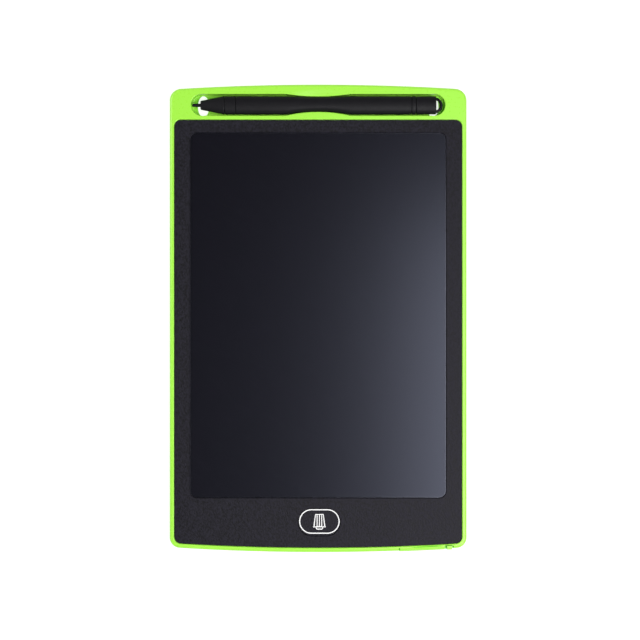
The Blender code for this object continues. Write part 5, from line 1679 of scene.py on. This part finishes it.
class TABLET_OT_stage(bpy.types.Operator):
    """Set up the floor, the lights and the camera"""

    bl_idname = "tablet.stage"
    bl_label = "Stage"

    def execute(self, context):
        studio = context.scene.tablet_studio
        self.add_floor(studio)
        across, along = studio.softbox_width, studio.softbox_length
        x, y = studio.softbox_left + across / 2, studio.softbox_top - along / 2
        place = (x, y, studio.softbox_height)
        self.add_light("softbox", place, (0, 0, -1), studio.softbox_power, across, along)
        place, side = Vector(studio.key_place), studio.key_size
        self.add_light("key", place, -place, studio.key_power, side, side)
        self.add_world(context.scene, studio)
        data = bpy.data.cameras.new("camera")
        data.lens = studio.lens
        data.clip_start = 0.01
        camera = add_object("camera", data)
        distance = studio.field * data.lens / data.sensor_width
        height = context.scene.tablet_body.thickness + distance
        camera.location = (studio.centre_x, studio.centre_y, height)
        context.scene.camera = camera
        context.scene.view_settings.view_transform = "Standard"
        return {"FINISHED"}

    def add_floor(self, studio):
        """A pale floor that glows a little, and is clear from below."""
        half = studio.floor_side / 2
        mesh = bpy.data.meshes.new("floor")
        corners = level(rectangle(-half, half, -half, half), -studio.floor_gap)
        mesh.from_pydata(corners, [], [(0, 1, 2, 3)])
        floor = add_object("floor", mesh)
        made = moulded(
            "pale floor", (0.4, 0.4, 0.4),
            roughness=0.8, grain=0.002, depth=0.00002, variation=0.99, patch=0.2,
        )
        made.set("Emission Color", (1, 1, 1, 1))
        made.set("Emission Strength", studio.floor_glow)
        tree = made.tree
        below = add(tree, "ShaderNodeNewGeometry").outputs["Backfacing"]
        clear = add(tree, "ShaderNodeBsdfTransparent").outputs["BSDF"]
        shown = tree.nodes["Principled BSDF"].outputs["BSDF"]
        sided = add(tree, "ShaderNodeMixShader", {0: below, 1: shown, 2: clear}).outputs[0]
        tree.links.new(sided, tree.nodes["Material Output"].inputs["Surface"])
        floor.data.materials.append(made.material)

    def add_light(self, name, place, direction, power, size_x, size_y):
        """A soft light that the camera doesn't see."""
        data = bpy.data.lights.new(name, "AREA")
        data.shape = "RECTANGLE"
        data.size = size_x
        data.size_y = size_y
        data.energy = power
        light = add_object(name, data)
        light.location = place
        light.rotation_euler = Vector(direction).to_track_quat("-Z", "Y").to_euler()
        light.visible_camera = False

    def add_world(self, scene, studio):
        """Surroundings that are bright low down and dim overhead."""
        world = bpy.data.worlds.new("studio")
        world.use_nodes = True
        tree = world.node_tree
        direction = add(tree, "ShaderNodeTexCoord").outputs["Generated"]
        height = add(tree, "ShaderNodeSeparateXYZ", {0: direction}).outputs["Z"]
        strength = ramp(tree, height, 0.0, 1.0, studio.horizon, studio.zenith)
        tree.links.new(strength, tree.nodes["Background"].inputs["Strength"])
        tree.nodes["Background"].inputs["Color"].default_value = (1, 1, 1, 1)
        scene.world = world


GROUPS = {
    "tablet_body": BodySizes,
    "tablet_panel": PanelSizes,
    "tablet_trough": TroughSizes,
    "tablet_button": ButtonSizes,
    "tablet_drawer": DrawerSizes,
    "tablet_stylus": StylusSizes,
    "tablet_lock": LockSizes,
    "tablet_circuit": CircuitSizes,
    "tablet_colours": Colours,
    "tablet_studio": Studio,
}

OPERATORS = (
    TABLET_OT_finishes,
    TABLET_OT_stage,
    TABLET_OT_rear_shell,
    TABLET_OT_front_panel,
    TABLET_OT_writing_film,
    TABLET_OT_erase_button,
    TABLET_OT_battery_drawer,
    TABLET_OT_stylus,
    TABLET_OT_lock,
    TABLET_OT_circuit,
)


class VIEW3D_PT_tablet(bpy.types.Panel):
    """The tablet's pieces and sizes"""

    bl_label = "Writing Tablet"
    bl_space_type = "VIEW_3D"
    bl_region_type = "UI"
    bl_category = "Tablet"

    def draw(self, context):
        for operator in OPERATORS:
            self.layout.operator(operator.bl_idname)
        for name, group in GROUPS.items():
            box = self.layout.box()
            box.label(text=group.__doc__)
            for field in group.__annotations__:
                box.prop(getattr(context.scene, name), field)


def register():
    for group in GROUPS.values():
        bpy.utils.register_class(group)
    for name, group in GROUPS.items():
        setattr(bpy.types.Scene, name, bpy.props.PointerProperty(type=group))
    for shown in (*OPERATORS, VIEW3D_PT_tablet):
        bpy.utils.register_class(shown)


def unregister():
    for shown in (VIEW3D_PT_tablet, *reversed(OPERATORS)):
        bpy.utils.unregister_class(shown)
    for name in GROUPS:
        delattr(bpy.types.Scene, name)
    for group in reversed(GROUPS.values()):
        bpy.utils.unregister_class(group)


def main():
    register()
    oval_tree()
    line_tree()
    rows_tree()
    points_tree()
    bpy.ops.tablet.finishes()
    bpy.ops.tablet.stage()
    bpy.ops.tablet.rear_shell()
    bpy.ops.tablet.front_panel()
    bpy.ops.tablet.writing_film()
    bpy.ops.tablet.erase_button()
    bpy.ops.tablet.battery_drawer()
    bpy.ops.tablet.stylus()
    bpy.ops.tablet.lock()
    bpy.ops.tablet.circuit()


if __name__ == "__main__":
    main()
